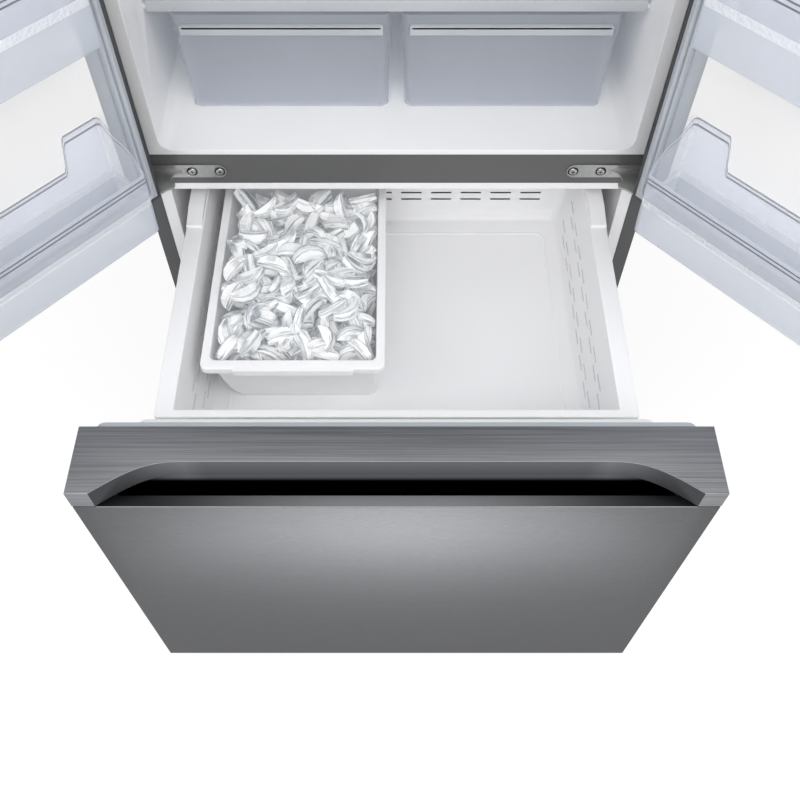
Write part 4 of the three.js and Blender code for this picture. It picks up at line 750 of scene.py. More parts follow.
def bin_rings():
    """Rings up the inner wall from a fillet at the floor, over the rolled rim, round the skirt and
    down the outer wall, with the numbers of the first ones at the slots' edges inside and outside."""
    fillet, lip, roll, skirt = 9, 1.6, 1.8, 9
    span, below = BIN_RIM - BIN_FLOOR, BIN_FLOOR - 0.2
    shelf = BIN_OUTER[1] - SHOULDER_INNER
    rings = [bin_ring(0, -a, BIN_FLOOR + b, FLOOR_CORNERS) for a, b in quarter_roll(fillet, 4)[:-1]]
    inside = len(rings)
    rings += [bin_ring((z - BIN_FLOOR) / span, 0, z, WALL_CORNERS) for z in SLOT_EDGES]
    rings += [bin_ring(1, b, BIN_RIM - a, MOUTH_CORNERS) for a, b in quarter_roll(lip, 4)[:-1]]
    rings += [shoulder_ring(shelf + 0.2), shoulder_ring(shelf - 0.2)]
    rings += [rim_ring(a, BIN_RIM - b, True) for a, b in quarter_roll(roll, 4)[:-1]]
    rings += [rim_ring(0, BIN_RIM - roll, True), rim_ring(0, BIN_RIM - skirt, False)]
    rings += [rim_ring(BIN_WALL, BIN_RIM - skirt, False), rim_ring(BIN_WALL, BIN_RIM - BIN_WALL, False)]
    rings += [bin_ring(1, BIN_WALL, BIN_RIM - BIN_WALL, MOUTH_CORNERS)]
    outside = len(rings)
    rings += [bin_ring((z - BIN_FLOOR) / span, BIN_WALL, z, WALL_CORNERS) for z in SLOT_EDGES[::-1]]
    rings += [bin_ring(0, BIN_WALL, below, WALL_CORNERS), bin_ring(0, -fillet, below, FLOOR_CORNERS)]
    return np.asarray(rings), inside, outside


def upper_bin():
    """The bin as one closed grid of rings.

    A rear slot is open: its cell is left out of both walls and four faces, dark with painted shadow, join
    the two. A side slot is a shallow dent: its cells are pressed outwards and the dent has painted shade."""
    points, first_inner, first_outer = bin_rings()
    levels, around = points.shape[:2]
    faces = grid_faces(levels, around).reshape(levels - 1, around, 4)
    keep = np.ones((levels - 1, around), bool)
    ahead = np.roll(points[first_inner], -1, axis=0)
    middle = (points[first_inner] + ahead) / 2
    run = np.abs(points[first_inner] - ahead)

    through = []
    rear = (middle[:, 1] > BIN_BOTTOM[3]) & (run[:, 1] < 0.01)
    rear &= np.abs(run[:, 0] - REAR_SLOT_LONG) < 0.1
    for z in REAR_SLOT_LEVELS:
        row = np.searchsorted(SLOT_EDGES, z) - 1
        inside, outside = first_inner + row, first_outer + len(SLOT_EDGES) - 2 - row
        for column in np.flatnonzero(rear):
            keep[inside, column] = keep[outside, column] = False
            near, far = faces[inside, column], faces[outside, column][::-1]
            following = np.roll(near, -1), np.roll(far, -1)
            through += np.stack([near, following[0], following[1], far], axis=-1).tolist()

    dents, pressed = [], []
    for number, z in enumerate(SIDE_SLOT_LEVELS):
        row = first_inner + np.searchsorted(SLOT_EDGES, z) - 1
        for start in side_slot_starts(number):
            within = (middle[:, 1] > start) & (middle[:, 1] < start + SIDE_SLOT_LONG)
            for _, side in SIDES:
                columns = np.flatnonzero(within & (middle[:, 0] * side > 0))
                keep[row, columns] = False
                edge = np.append(columns, columns[-1] + 1)
                loop = np.concatenate([row * around + edge, (row + 1) * around + edge[::-1]])
                bottom = levels * around + len(pressed) + np.arange(len(loop))
                pressed += (points.reshape(-1, 3)[loop] + (side * SIDE_SLOT_DEPTH, 0, 0)).tolist()
                ring = [loop, np.roll(loop, -1), np.roll(bottom, -1), bottom]
                dents += np.stack(ring, axis=-1).tolist() + [bottom.tolist()]

    faces = through + faces[keep].tolist() + dents
    faces.append(list(range(around))[::-1])
    faces.append(list(range((levels - 1) * around, levels * around)))
    points = np.concatenate([points.reshape(-1, 3), pressed])
    mesh = outward(mesh_of("upper_bin", pulled(points), faces))
    # the open slots' faces take the painted shadow, the dents the painted shade
    index = np.repeat((1, 0, 2, 0), (len(through), int(keep.sum()), len(dents), 2))
    finished(mesh, (FINISH["white_bin"], SLOT_SHADOW, SLOT_PAINTED_SHADE), index)
    shell = shown(mesh, "upper_bin_shell", "drawer", "white_bin")
    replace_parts(shell, "upper_bin")


def upper_bin_fittings():
    """The low bead that frames the floor and the wings by which the bin rests on its ledges."""
    half, foot, top = 3.5, -0.5, 1.1
    section = np.array([(-half, foot), (half, foot), (2.2, 0.6), (0.8, top), (-0.8, top), (-2.2, 0.6)])
    path = rounded_path(-293, 293, 118, 582, 18)
    shown(
        swept("upper_bin_floor_bead", path, section + (0, BIN_FLOOR), pulled, "xy"),
        "upper_bin_floor_bead", "drawer", "white_bin",
    )
    wing_low, wing_high, wing_front, wing_rear, reach = 596.3, 599.3, 100, 600, 383.6
    share = (wing_low - BIN_FLOOR) / (BIN_RIM - BIN_FLOOR)
    wall = BIN_BOTTOM[1] + (BIN_MOUTH[1] - BIN_BOTTOM[1]) * share + BIN_WALL
    for word, side in SIDES:
        x0, x1 = on_side(side, wall - 0.5, reach)
        name = "upper_bin_wing_" + word
        wing = block(name, x0, x1, wing_front, wing_rear, wing_low, wing_high, pulled)
        bevelled(shown(wing, name, "drawer", "white_bin"), 0.6)


upper_bin()
upper_bin_fittings()


# ---------------------------------------------------------------- the ice bucket and its ice
BUCKET_RIM, BUCKET_LOW = 657.6, 528.3
BUCKET_OUTER = (-320, -19, 157, 613)  # x0, x1, y0, y1 of the rim's outer edge
BUCKET_BORDER, BUCKET_FRONT_BORDER, BUCKET_CORNER = 12, 16, 12


def bucket_ring(inset, z, share):
    """A level ring of the bucket's wall, share 0 at its floor and 1 at its rim.

    The wall leans out by six millimetres, the front one by twenty, and the lower left edge is
    drawn in by 26 (1 - sqrt(1 - (1 - share)^2))."""
    x0, x1, y0, y1 = BUCKET_OUTER
    edge, front_edge = BUCKET_BORDER + inset, BUCKET_FRONT_BORDER + inset
    lean, front_lean = 6 * (1 - share), 20 * (1 - share)
    curve = 26 * (1 - math.sqrt(1 - (1 - share) ** 2))
    path = rounded_path(
        x0 + edge + lean + curve, x1 - edge - lean, y0 + front_edge + front_lean, y1 - edge - lean,
        BUCKET_CORNER - inset, steps=5,
    )
    return lifted(path, z)


def bucket_edge(inset, z):
    """A level ring of the bucket's rim, inset from its outer edge."""
    x0, x1, y0, y1 = BUCKET_OUTER
    corner_radius = BUCKET_CORNER - inset
    return lifted(rounded_path(x0 + inset, x1 - inset, y0 + inset, y1 - inset, corner_radius, steps=5), z)


def ice_bucket():
    """A closed shell of rings: up the inside, over the rolled rim, round the skirt and down."""
    shares = np.array([0, 0.03, 0.07, 0.12, 0.2, 0.32, 0.5, 0.72, 0.97])
    wall, skirt, skirt_wall, fillet = 2.5, 12, 2, 7
    floor = BUCKET_LOW + wall
    roll = quarter_roll(1.6, 4)
    rings = [bucket_ring(wall + fillet, floor, 0)]
    rings += [bucket_ring(wall, floor + s * (BUCKET_RIM - floor), s) for s in shares[1:]]
    rings += [bucket_ring(wall - b, BUCKET_RIM - a, 1) for a, b in roll]
    rings += [bucket_edge(a, BUCKET_RIM - b) for a, b in roll]
    rings += [bucket_edge(inset, BUCKET_RIM - skirt) for inset in (0, skirt_wall)]
    rings += [bucket_edge(skirt_wall, BUCKET_RIM - wall), bucket_ring(0, BUCKET_RIM - wall, shares[-1])]
    rings += [bucket_ring(0, BUCKET_LOW + s * (BUCKET_RIM - BUCKET_LOW), s) for s in shares[-2::-1]]
    shell = shown(
        closed_shell("ice_bucket", rings, pulled), "ice_bucket_shell", "ice_bucket", "white_bin"
    )
    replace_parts(shell, "ice_bucket")


def bucket_fittings():
    """The grip under the front rim and the tab on the front wall."""
    front, back, radius = 152.5, 158.5, 2.6
    grip = [
        lifted(rounded_path(x0, x1, front, back, radius, steps=4), z)
        for x0, x1, z in ((-262, -74, 645), (-266, -70, 646), (-267, -69, 655), (-265, -71, 657.8))
    ]
    tab = block("ice_bucket_tab", -278, -244, 598.2, 600.2, 612, 640, pulled)
    for name, mesh in (
        ("ice_bucket_grip", closed_shell("ice_bucket_grip", grip, pulled)), ("ice_bucket_tab", tab)
    ):
        bevelled(shown(mesh, name, "ice_bucket", "white_bin"), 0.8)


def crescent():
    """One half-moon of ice as a small closed grid, its flat top on Z = 0 in the middle.

    At u from -1 to 1 along its length the section is a rounded oblong, D sqrt(1 - u^2) deep and
    T (1 - 0.25 u^4) to each side, whose top and sides are hollowed by about a millimetre."""
    length, depth, half = 27.5, 25.0, 10.5
    top_hollow, side_hollow = 1.3, 0.12  # millimetres, and a share of the width
    u = np.sin(np.linspace(-1, 1, 7) * math.pi / 2)[:, None]
    angle = np.radians([0, 38, 52, 90, 128, 142, 180, 218, 232, 270, 308, 322])[None, :]
    c, s = np.cos(angle), np.sin(angle)
    oblong = np.maximum(np.abs(c), np.abs(s)) ** 0.9
    reach = np.sqrt(np.clip(1 - u * u, 0.03, 1))
    y = half * (1 - 0.25 * u**4) * c / oblong
    z = depth * reach * (s / oblong - 1) / 2
    z = z - top_hollow * np.clip(s, 0, 1) * (1 - u * u)
    y = y * (1 - side_hollow * (1 - u * u) * np.cos(2 * angle) ** 2)
    return np.stack([np.broadcast_to(length * u, y.shape), y, z + depth / 2], axis=-1)


HEAP = (-301, -35.5, 182, 597)  # x0, x1, y0, y1 inside the bucket's mouth
HEAP_LOW, HEAP_TOP = 531.5, 687.5
HEAP_LEVELS, HEAP_COLUMNS, HEAP_ROWS = (590, 613, 634, 653, 669), 6, 12


def heap_places(seed):
    """Places of the pieces in loose layers, every second one shifted by half a place.

    At x and y from 0 to 1 a place lies 16 (2x - 1)^4 + 14 (2y - 1)^6 lower than its level, and up
    to 74 more over the rear sixth."""
    x0, x1, y0, y1 = HEAP
    places = []
    for number, level in enumerate(HEAP_LEVELS):
        first = 0.3 + 0.5 * (number % 2)
        gx, gy = np.meshgrid(
            (np.arange(HEAP_COLUMNS) + first) / HEAP_COLUMNS, (np.arange(HEAP_ROWS) + first) / HEAP_ROWS
        )
        gx = np.clip(gx.ravel() + seed.uniform(-0.06, 0.06, gx.size), 0.06, 0.94)
        gy = np.clip(gy.ravel() + seed.uniform(-0.03, 0.03, gy.size), 0.04, 0.96)
        fall = 16 * (2 * gx - 1) ** 4 + 14 * (2 * gy - 1) ** 6 + 74 * np.clip(6 * gy - 5, 0, 1)
        z = level + seed.uniform(-7, 7, gx.size) - fall
        places.append(np.stack([x0 + gx * (x1 - x0), y0 + gy * (y1 - y0), z], axis=-1))
    return np.concatenate(places)


def kept_inside(points):
    """Shifts each piece so that it stays in the bucket, whose left and front walls lean in below."""
    x0, x1, y0, y1 = HEAP
    points[..., 2] -= np.maximum(points[..., 2].max(axis=1) - HEAP_TOP, 0)[:, None]
    height = points[..., 2].min(axis=1)
    left = x0 + np.interp(height, (531, 640), (28, 0))
    front = y0 + np.interp(height, (531, 657), (16, -2))
    low = np.full(len(points), HEAP_LOW)
    for axis, near, far in ((0, left, x1), (1, front, y1), (2, low, HEAP_TOP)):
        under = np.maximum(near - points[..., axis].min(axis=1), 0)
        over = np.maximum(points[..., axis].max(axis=1) - far, 0)
        points[..., axis] += (under - over)[:, None]
    return points


def crescents():
    """The heap of half-moons, each turned its own way."""
    seed = np.random.default_rng(20)
    places = heap_places(seed)
    count = len(places)
    shape = crescent()
    stations, around = shape.shape[:2]
    piece = shape.reshape(-1, 3)
    piece_faces = grid_faces(stations, around).tolist()
    piece_faces += [list(range(around))[::-1], list(range((stations - 1) * around, stations * around))]

    yaw = seed.uniform(0, 2 * math.pi, count)
    tilt = seed.normal(0, 0.42, count)
    roll = seed.choice([0, math.pi / 2, math.pi, -math.pi / 2], count) + seed.normal(0, 0.35, count)
    turns = np.array(
        [
            Matrix.Rotation(a, 3, "Z") @ Matrix.Rotation(b, 3, "Y") @ Matrix.Rotation(c, 3, "X")
            for a, b, c in zip(yaw, tilt, roll)
        ]
    )
    sizes = seed.uniform(0.85, 1.08, (count, 1, 1))
    points = kept_inside(np.einsum("nij,kj->nki", turns, piece) * sizes + places[:, None, :])
    stride = len(piece)
    faces = [[v + stride * n for v in face] for n in range(count) for face in piece_faces]
    mesh = outward(mesh_of("ice_crescents", pulled(points), faces))

    # a place along the piece, round it, and an offset by piece, so that no two are streaked alike
    along, about = np.meshgrid(
        np.linspace(0, 1.6, stations), np.abs(np.linspace(-6, 6, around)), indexing="ij"
    )
    own = np.stack([along.ravel(), about.ravel(), np.zeros(stride)], axis=-1)
    grain = own + np.arange(count)[:, None, None] * 3.7
    held = mesh.attributes.new("ice_grain", "FLOAT_VECTOR", "POINT")
    held.data.foreach_set("vector", grain.astype("f4").ravel())
    of_piece = np.arange(len(faces)) % len(piece_faces)
    # faces along four lines round each piece take the painted reflection
    rims = np.isin(of_piece % around, (1, 4, 7, 10)) & (of_piece < len(piece_faces) - 2)
    finished(mesh, (FINISH["ice"], RIM_PAINTED_REFLECTION), rims)
    heap = shown(mesh, "ice_crescents", "ice_bucket", "ice", smooth_degrees=40)
    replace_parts(heap, "ice_heap")


ice_bucket()
bucket_fittings()
crescents()


# ---------------------------------------------------------------- door bins
DOOR_BIN_X = (66, 381)
DOOR_BIN_Y = (3.3, 98)  # the wall on the door, and the front one, which faces the shelves
DOOR_BIN_LEVELS = {"lower": 806, "upper": 1136}
EAR_WIDTH, EAR_FALL = 74, 16  # at both ends of the wall on the door, and the slope down from it
EDGE_SHADE = moulded_plastic("shaded_edge_styrene", "#6c7078", "#656971", 0.3)
FROSTED = clear_plastic("frosted_band_styrene", "#dfe3e9", 0.42, 0.4, 0.45)
# painted light: a lighter, clearer copy of the bin's styrene for its inside, which less light reaches
INNER_PAINTED_LIGHT = clear_plastic("inner_styrene_painted_light", "#fdfdff", 0.82, 0.5, 0.16)
SHIMMER = clear_plastic("pearled_band_styrene", "#f8f9fc", 0.3, 0.3, 0.2, 1.5)


def ear_rise(x, y):
    """How far the wall's edge stands over the front rim: at both ends it sweeps up along Y."""
    front, back = DOOR_BIN_Y[1], DOOR_BIN_Y[0] + 8
    run, height = bezier((0, 0), (20, 28), (30, 40), (60, 40), 40).T
    curve = np.interp(front - y, np.append(run, front - back), np.append(height, 56))
    ends = np.minimum(x - DOOR_BIN_X[0], DOOR_BIN_X[1] - x)
    share = np.clip((EAR_WIDTH - ends) / EAR_FALL, 0, 1)
    on_door = y < 40
    return np.where(on_door, curve * share * share * (3 - 2 * share), curve)


def door_bin(word, side, name):
    """A closed grid of rings from the inner floor up over the swept edge and down outside.

    A point of a ring stands at level + z + share times the ear's rise, so that the rings crowd
    together along the front and spread out over the ears."""
    level = DOOR_BIN_LEVELS[name]
    rim, wall, band, proud, edge = 119, 2.5, 9.5, 1.4, 0.9
    x0, x1 = DOOR_BIN_X
    sides = np.concatenate([np.linspace(12, 36, 5), np.linspace(42, 88, 14)])
    ear = np.array([8, EAR_WIDTH - EAR_FALL, 61, 64, 67, 70, EAR_WIDTH])
    backs = np.concatenate([x0 + ear, (x1 - ear)[::-1]])

    def ring(grow, low, z, share=0):
        """Low is 1 at the floor, where the front wall stands 7 mm further in."""
        radius = 5 + grow
        path = rounded_path(
            x0 - grow, x1 + grow, DOOR_BIN_Y[0] - min(grow, 0), DOOR_BIN_Y[1] + grow - 7 * low,
            radius, radius, sides, (), backs, 4,
        )
        points = lifted(path, level + z)
        points[:, 2] += share * ear_rise(points[:, 0], points[:, 1])
        return points

    rings = [ring(-wall - 4, 1, wall), ring(-wall - 1.2, 0.99, wall + 1.2), ring(-wall, 0.96, wall + 4)]
    rings += [ring(-wall, 1 - z / rim, z) for z in (30, 60, 90, rim - 12)]
    rings += [ring(-wall, 0, rim - 12 + 12 * share, share) for share in (0.3, 0.6, 0.9)]
    inner_rings = len(rings)
    rings += [ring(-wall, 0, rim - edge, 1), ring(-wall + edge, 0, rim, 1)]
    rings += [ring(proud - edge, 0, rim, 1), ring(proud, 0, rim - edge, 1)]
    rings += [ring(proud, 0, rim - edge - 2.3, 1), ring(proud, 0, rim - band + 1.8, 0.93)]
    rings += [ring(proud, 0, rim - band - 0.6, 0.925), ring(0, 0, rim - band - 1.2, 0.9)]
    rings += [ring(0, 0.02, rim - 24, 0.3), ring(0, 0.1, rim - 34), ring(0, 0.25, 76)]
    bend = len(rings)
    rings += [ring(0, 0.45, 62), ring(0.5, 0.5, 60.5), ring(0.5, 0.7, 36)]
    rings += [ring(0.3, 0.95, 5), ring(-1.2, 0.99, 1.2), ring(-4, 1, 0.1)]
    mesh = closed_shell("door_bin", rings, swung(side))

    around = len(rings[0])
    clear, shaded, frosted, pearled, inner = range(5)
    index = np.full((len(rings) - 1, around), clear)
    # painted light on the inside faces
    index[:inner_rings] = inner
    index[[bend - 8, bend - 6]] = shaded  # narrow bands at the top and the foot of the edge
    index[bend - 1] = pearled
    index[bend:] = frosted
    finished(
        mesh, (FINISH["clear_bin"], EDGE_SHADE, FROSTED, SHIMMER, INNER_PAINTED_LIGHT),
        np.append(index, (inner, clear)),
    )
    node = f"{word}_door_bin_{name}"
    piece = shown(mesh, node + "_shell", word + "_door", "clear_bin", smooth_degrees=30)
    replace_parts(piece, node)


for door_word, door_side in SIDES:
    for bin_name in DOOR_BIN_LEVELS:
        door_bin(door_word, door_side, bin_name)


# ---------------------------------------------------------------- gaskets
# how deep a gasket is, open and shut: the left door's open one must clear its flap
RELAXED, DOOR_RELAXED, PRESSED = 15.0, 11.0, 9.2
GASKET_WIDTH, GASKET_FOOT = 18, -9.7
DOOR_GASKET_LINE = rounded_path(17, 433, 785, 1735, 10)  # in X and Z
DRAWER_GASKET_LINE = rounded_path(-430, 430, 87, 732.8, 10)


def ribbed(width, thick):
    """Section of a magnetic gasket across its path: a wide foot, two round ribs and a thin lip."""
    angle = np.linspace(0, math.pi, 7)
    half = width / 2
    big = [(half * 0.5 + half * 0.48 * math.cos(a), thick * (0.45 + 0.55 * math.sin(a))) for a in angle]
    small = [(-half * 0.52 + half * 0.4 * math.cos(a), thick * (0.35 + 0.5 * math.sin(a))) for a in angle]
    return np.array([(half, 0.0)] + big + small + [(-half, thick * 0.25), (-half, 0.0)])


def gasket(node, body, centre_line, place, relaxed):
    """Carries the ribbed section round the gasket's centre line."""
    section = ribbed(GASKET_WIDTH, relaxed) + (0, GASKET_FOOT)
    mesh = swept(node, centre_line, section, place)
    piece = shown(mesh, node + "_ribbed", body, "gasket", smooth_degrees=50)
    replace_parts(piece, node)
    # a point of the foot's plane and one a metre in front of it at right angles
    foot, ahead = place([(0, GASKET_FOOT, 500), (0, GASKET_FOOT + 1000, 500)])
    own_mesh(piece)


for door_word, door_side in SIDES:
    gasket(
        door_word + "_door_gasket", door_word + "_door", DOOR_GASKET_LINE, swung(door_side),
        DOOR_RELAXED,
    )
gasket("drawer_gasket", "drawer", DRAWER_GASKET_LINE, pulled, RELAXED)


# ---------------------------------------------------------------- doors' liners and the drawer's front
def door_liner(word, side):
    """The raised middle of the liner is warm white, and its border has the gasket's grey as painted shade,
    since it lies in shade beside the gasket.
    """
    node = word + "_door_liner"
    mesh = merged_copy(node)
    # painted shade on the border
    border = shut(face_centres(mesh), side)[:, 1] < -9
    finished(mesh, (FINISH["foamed_liner"], FINISH["gasket"]), border)
    piece = bevelled(shown(mesh, node + "_shown", word + "_door", "foamed_liner"), 3.0, 3)
    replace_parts(piece, node)


HALF_WIDTH, FACE, INNER_FACE = 454.0, -118.0, -10.0
PANEL_LOW, PANEL_TOP, CAP_LOW, CAP_TOP = 60.0, 711.2, 713.6, 752.0
POCKET_MOUTH, POCKET_BACK = 421.4, -68.0  # half its width at the face, and its rear wall
POCKET_FLOOR = 678
OPENING_HALF, LIP_DEPTH = 398, 18  # the panel's opening under the pocket, and the lip before it


def pocket_edge():
    """The pocket's outline from its front right end round to its front left one."""
    half = bezier(
        (POCKET_MOUTH, FACE), (POCKET_MOUTH - 46, FACE + 34), (POCKET_MOUTH - 71, POCKET_BACK),
        (POCKET_MOUTH - 121, POCKET_BACK),
    )
    return np.concatenate([half, (half * (-1, 1))[::-1]])


def drawer_cap():
    """The brushed cap as a plate with rolled edges, whose front is notched by the pocket.

    Its path runs anticlockwise: the back's two corners, down the left side, along the front and
    round the pocket. The pocket's wall has painted shade, and the rolled edge of the front and the pocket a
    painted highlight."""
    corners = [(HALF_WIDTH, FACE), (HALF_WIDTH, INNER_FACE), (-HALF_WIDTH, INNER_FACE), (-HALF_WIDTH, FACE)]
    rings = rolled_rings(np.concatenate([corners, pocket_edge()[::-1]]), CAP_LOW, CAP_TOP, 0.8)
    mesh = closed_shell("drawer_top_cap", rings, pulled)
    steel, dark, bright = range(3)
    levels, around = rings.shape[:2]
    index = np.full((levels - 1, around), steel)
    # painted shade on the pocket's wall
    index[:, len(corners) : -1] = dark
    # a painted highlight along the rolled edge of the front and the pocket
    index[levels - 3, len(corners) - 1 :] = bright
    finished(mesh, (FINISH["cap_stainless"], POCKET_PAINTED_SHADE, PAINTED_HIGHLIGHT_EDGE), np.append(index, (steel, steel)))
    cap = shown(mesh, "drawer_top_cap_plate", "drawer", "cap_stainless", smooth_degrees=32)
    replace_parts(cap, "drawer_top_cap")


def pocket_tub():
    """The tub that hangs in the panel's opening, dark with painted shade that runs to black lower down; its
    front wall ends under the lip.
    """
    out, top, wall_top = OPENING_HALF + 1.5, CAP_LOW + 0.6, PANEL_TOP - 14
    within = OPENING_HALF - 0.5
    outside = rounded_path(-out, out, FACE + LIP_DEPTH + 0.3, POCKET_BACK + 3, 2, steps=2)
    inside = rounded_path(-within, within, FACE + LIP_DEPTH + 2, POCKET_BACK, 2, steps=2)
    rings = [lifted(outside, POCKET_FLOOR), lifted(outside, top), lifted(inside, top)]
    rings += [lifted(inside, POCKET_FLOOR + 2)]
    for ring in rings[1:3]:
        front = (ring[:, 1] < FACE + 30) & (np.abs(ring[:, 0]) < ring[:, 0].max() - 0.1)
        ring[front, 2] = wall_top
    shown(closed_shell("pocket_tub", rings, pulled), "pocket_tub", "drawer", "cap_stainless", POCKET_PAINTED_SHADE)


def drawer_panel():
    """The folded front: a box of sheet steel with rolled edges whose lip is open behind.

    Rings go up the outside, over the top edge, across the lip and down its return."""
    back, roll = INNER_FACE - 2, 1.2
    outside = rounded_path(
        -HALF_WIDTH, HALF_WIDTH, FACE, back, roll, fronts=(-POCKET_MOUTH, POCKET_MOUTH), steps=3
    )
    opening = rounded_path(
        -OPENING_HALF, OPENING_HALF, FACE + LIP_DEPTH, POCKET_BACK + 4.5, roll, fronts=(-350, 350), steps=3
    )
    rings = list(rolled_rings(outside, PANEL_LOW, PANEL_TOP, roll))
    lip = len(rings) - 1
    rings += [lifted(opening, PANEL_TOP), lifted(opening, POCKET_FLOOR - 2)]
    mesh = closed_shell("drawer_front_panel", rings, pulled)
    steel, folded, soft = range(3)
    index = np.full((len(rings) - 1, len(outside)), steel)
    # the lip and its return: steel with painted shade towards its ends
    index[lip:] = folded
    # a painted highlight on the rolled top edge along the pocket's mouth
    index[lip - 2 : lip, -2] = soft
    finished(mesh, (FINISH["dark_stainless"], LIP_STEEL_PAINTED_SHADE, SOFT_PAINTED_HIGHLIGHT), np.append(index, (steel, folded)))
    panel = shown(mesh, "drawer_front_folded", "drawer", "dark_stainless", smooth_degrees=32)
    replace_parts(panel, "drawer_front_panel")


def cap_painted_shadow_seams():
    """Painted shadow: thin black strips in the seams under the cap at both ends of the pocket."""
    for word, side in SIDES:
        x0, x1 = on_side(side, POCKET_MOUTH + 0.5, HALF_WIDTH - 0.6)
        name = "cap_seam_painted_shadow_" + word
        seam = block(name, x0, x1, FACE + 0.7, FACE + 4, PANEL_TOP - 1, CAP_LOW + 0.7, pulled)
        shown(seam, name, "drawer", "black_plastic", SEAM_PAINTED_SHADOW)


for door_word, door_side in SIDES:
    door_liner(door_word, door_side)
drawer_cap()
pocket_tub()
drawer_panel()
cap_painted_shadow_seams()


# ---------------------------------------------------------------- lower hinges
SCREWS = {"outer": (356.4, 756.0), "inner": (308.1, 756.0)}  # X and Z of each
STRAP_FACE = -2.7
HEAD_RADIUS, HEAD_HEIGHT = 7.2, 2.8
RECESS_LONG, RECESS_WIDE = 6.6, 1.7


def screw(word, side, name, x, z):
    """A pan head with a cross recess, whose shade is painted by two dark blocks, and a ring of painted
    shadow round it.

    Its profile is turned about Y: at angle a its radius is R (cos a)^0.45, its height H sin a."""
    node = f"hinge_screw_{word}_{name}"
    centre = (side * x, STRAP_FACE, z)
    head = [(HEAD_RADIUS + 0.2, 0)]
    head += [
        (HEAD_RADIUS * math.cos(a) ** 0.45, -HEAD_HEIGHT * math.sin(a))
        for a in np.linspace(0, 1, 7)[:-1] * math.pi / 2
    ]
    head += [(0.4, -HEAD_HEIGHT)]
    piece = shown(turned(node, head, centre, still), node + "_head", "cabinet", "zinc", smooth_degrees=50)
    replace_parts(piece, node)
    # painted shadow: two dark blocks stand for the cross recess
    for way, across, tall in (("level", RECESS_LONG, RECESS_WIDE), ("upright", RECESS_WIDE, RECESS_LONG)):
        x0, x1 = centre[0] - across / 2, centre[0] + across / 2
        cross = block("cross", x0, x1, -5.6, -4.4, z - tall / 2, z + tall / 2, still)
        shown(cross, f"{node}_recess_painted_shadow_{way}", "cabinet", "zinc", SLOT_SHADOW)
    # painted shadow: a dark ring round the head
    ring = [(9.4, 0), (9.4, -0.3), (7.0, -0.3), (7.0, 0)]
    shown(turned(node + "_seat", ring, centre, still), node + "_seat", "cabinet", "zinc", SCREW_PAINTED_SHADOW)


def hinge_painted_highlights(word, side):
    """Painted highlights: bright beads along the strap's upper edge and along the curved one where its
    plate turns forward.
    """
    upper = [(side * x, STRAP_FACE + 0.5, 769.1) for x in np.linspace(311, 446, 3)]
    turn = bezier((386, 755), (374, 757), (375, 745), (357, 744.5), 16)
    turned_edge = [(side * x, STRAP_FACE + 0.3, z) for x, z in turn]
    for name, path, radius in (("upper_edge_painted_highlight", upper, 0.9), ("turned_edge", turned_edge, 1.3)):
        bead(f"lower_hinge_{word}_{name}", path, radius, still, "cabinet", "zinc", PAINTED_HIGHLIGHT_EDGE)


for hinge_word, hinge_side in SIDES:
    for screw_name, (screw_x, screw_z) in SCREWS.items():
        screw(hinge_word, hinge_side, screw_name, screw_x, screw_z)
    hinge_painted_highlights(hinge_word, hinge_side)


# ---------------------------------------------------------------- fresh food fittings
SHELF_LEVELS = {"shelf_lower": 1190, "shelf_upper": 1440}
COVER_LEVEL, CEILING, DUCT_FACE = 1001, 1700, 694.8
TRIM_HALF, TRIM_FRONT = 399, 105.5
PULL_NEAR, PULL_FAR, PULL_FRONT, PULL_LOW, PULL_TOP = 22, 352, 101.5, 960, 966
VENT_X, VENT_LEVELS, VENT_SLITS, VENT_PITCH = (-72, 72), (1128, 1390, 1590), 4, 9.5
SLIT_HALF_LONG, SLIT_HALF_TALL = 42, 2.3
LINER_SLOT = SLOT_OF["fresh_food_liner"]


def trim(name, y0, y1, radius, low, high):
    """A satin grey strip as wide as the shelves."""
    path = rounded_path(-TRIM_HALF, TRIM_HALF, y0, y1, radius)
    rolled_plate(name, path, low, high, 1.5, "cabinet", LINER_SLOT, TRIM)


def crisper_pull(word, side):
    """The grip along a crisper's front and the lip that hangs from it."""
    x0, x1 = on_side(side, PULL_NEAR, PULL_FAR)
    node = "crisper_" + word
    grip = rounded_path(x0, x1, PULL_FRONT, PULL_FRONT + 9.5, 4)
    lip = rounded_path(x0, x1, PULL_FRONT, PULL_FRONT + 2.5, 1.2, steps=3)
    for name, path, low, roll in (("_pull", grip, PULL_LOW, 1.5), ("_pull_lip", lip, PULL_LOW - 10, 1)):
        rolled_plate(node + name, path, low, PULL_TOP, roll, BODY_OF[node], SLOT_OF[node], TRIM)


def duct_vents():
    """Six groups of slits in the air duct at the back, drawn as thin dark plates of painted shadow."""
    vents = []
    for x in VENT_X:
        for level in VENT_LEVELS:
            for z in level + VENT_PITCH * np.arange(VENT_SLITS):
                slit = rounded_path(
                    x - SLIT_HALF_LONG, x + SLIT_HALF_LONG, z - SLIT_HALF_TALL, z + SLIT_HALF_TALL,
                    SLIT_HALF_TALL, steps=4,
                )
                rings = [on_plane(slit, y, "xz") for y in (DUCT_FACE - 0.25, DUCT_FACE + 1)]
                vents.append(closed_shell("vent", rings, still))
    shown(joined("duct_vents", vents), "duct_vents", "cabinet", LINER_SLOT, SLOT_SHADOW)


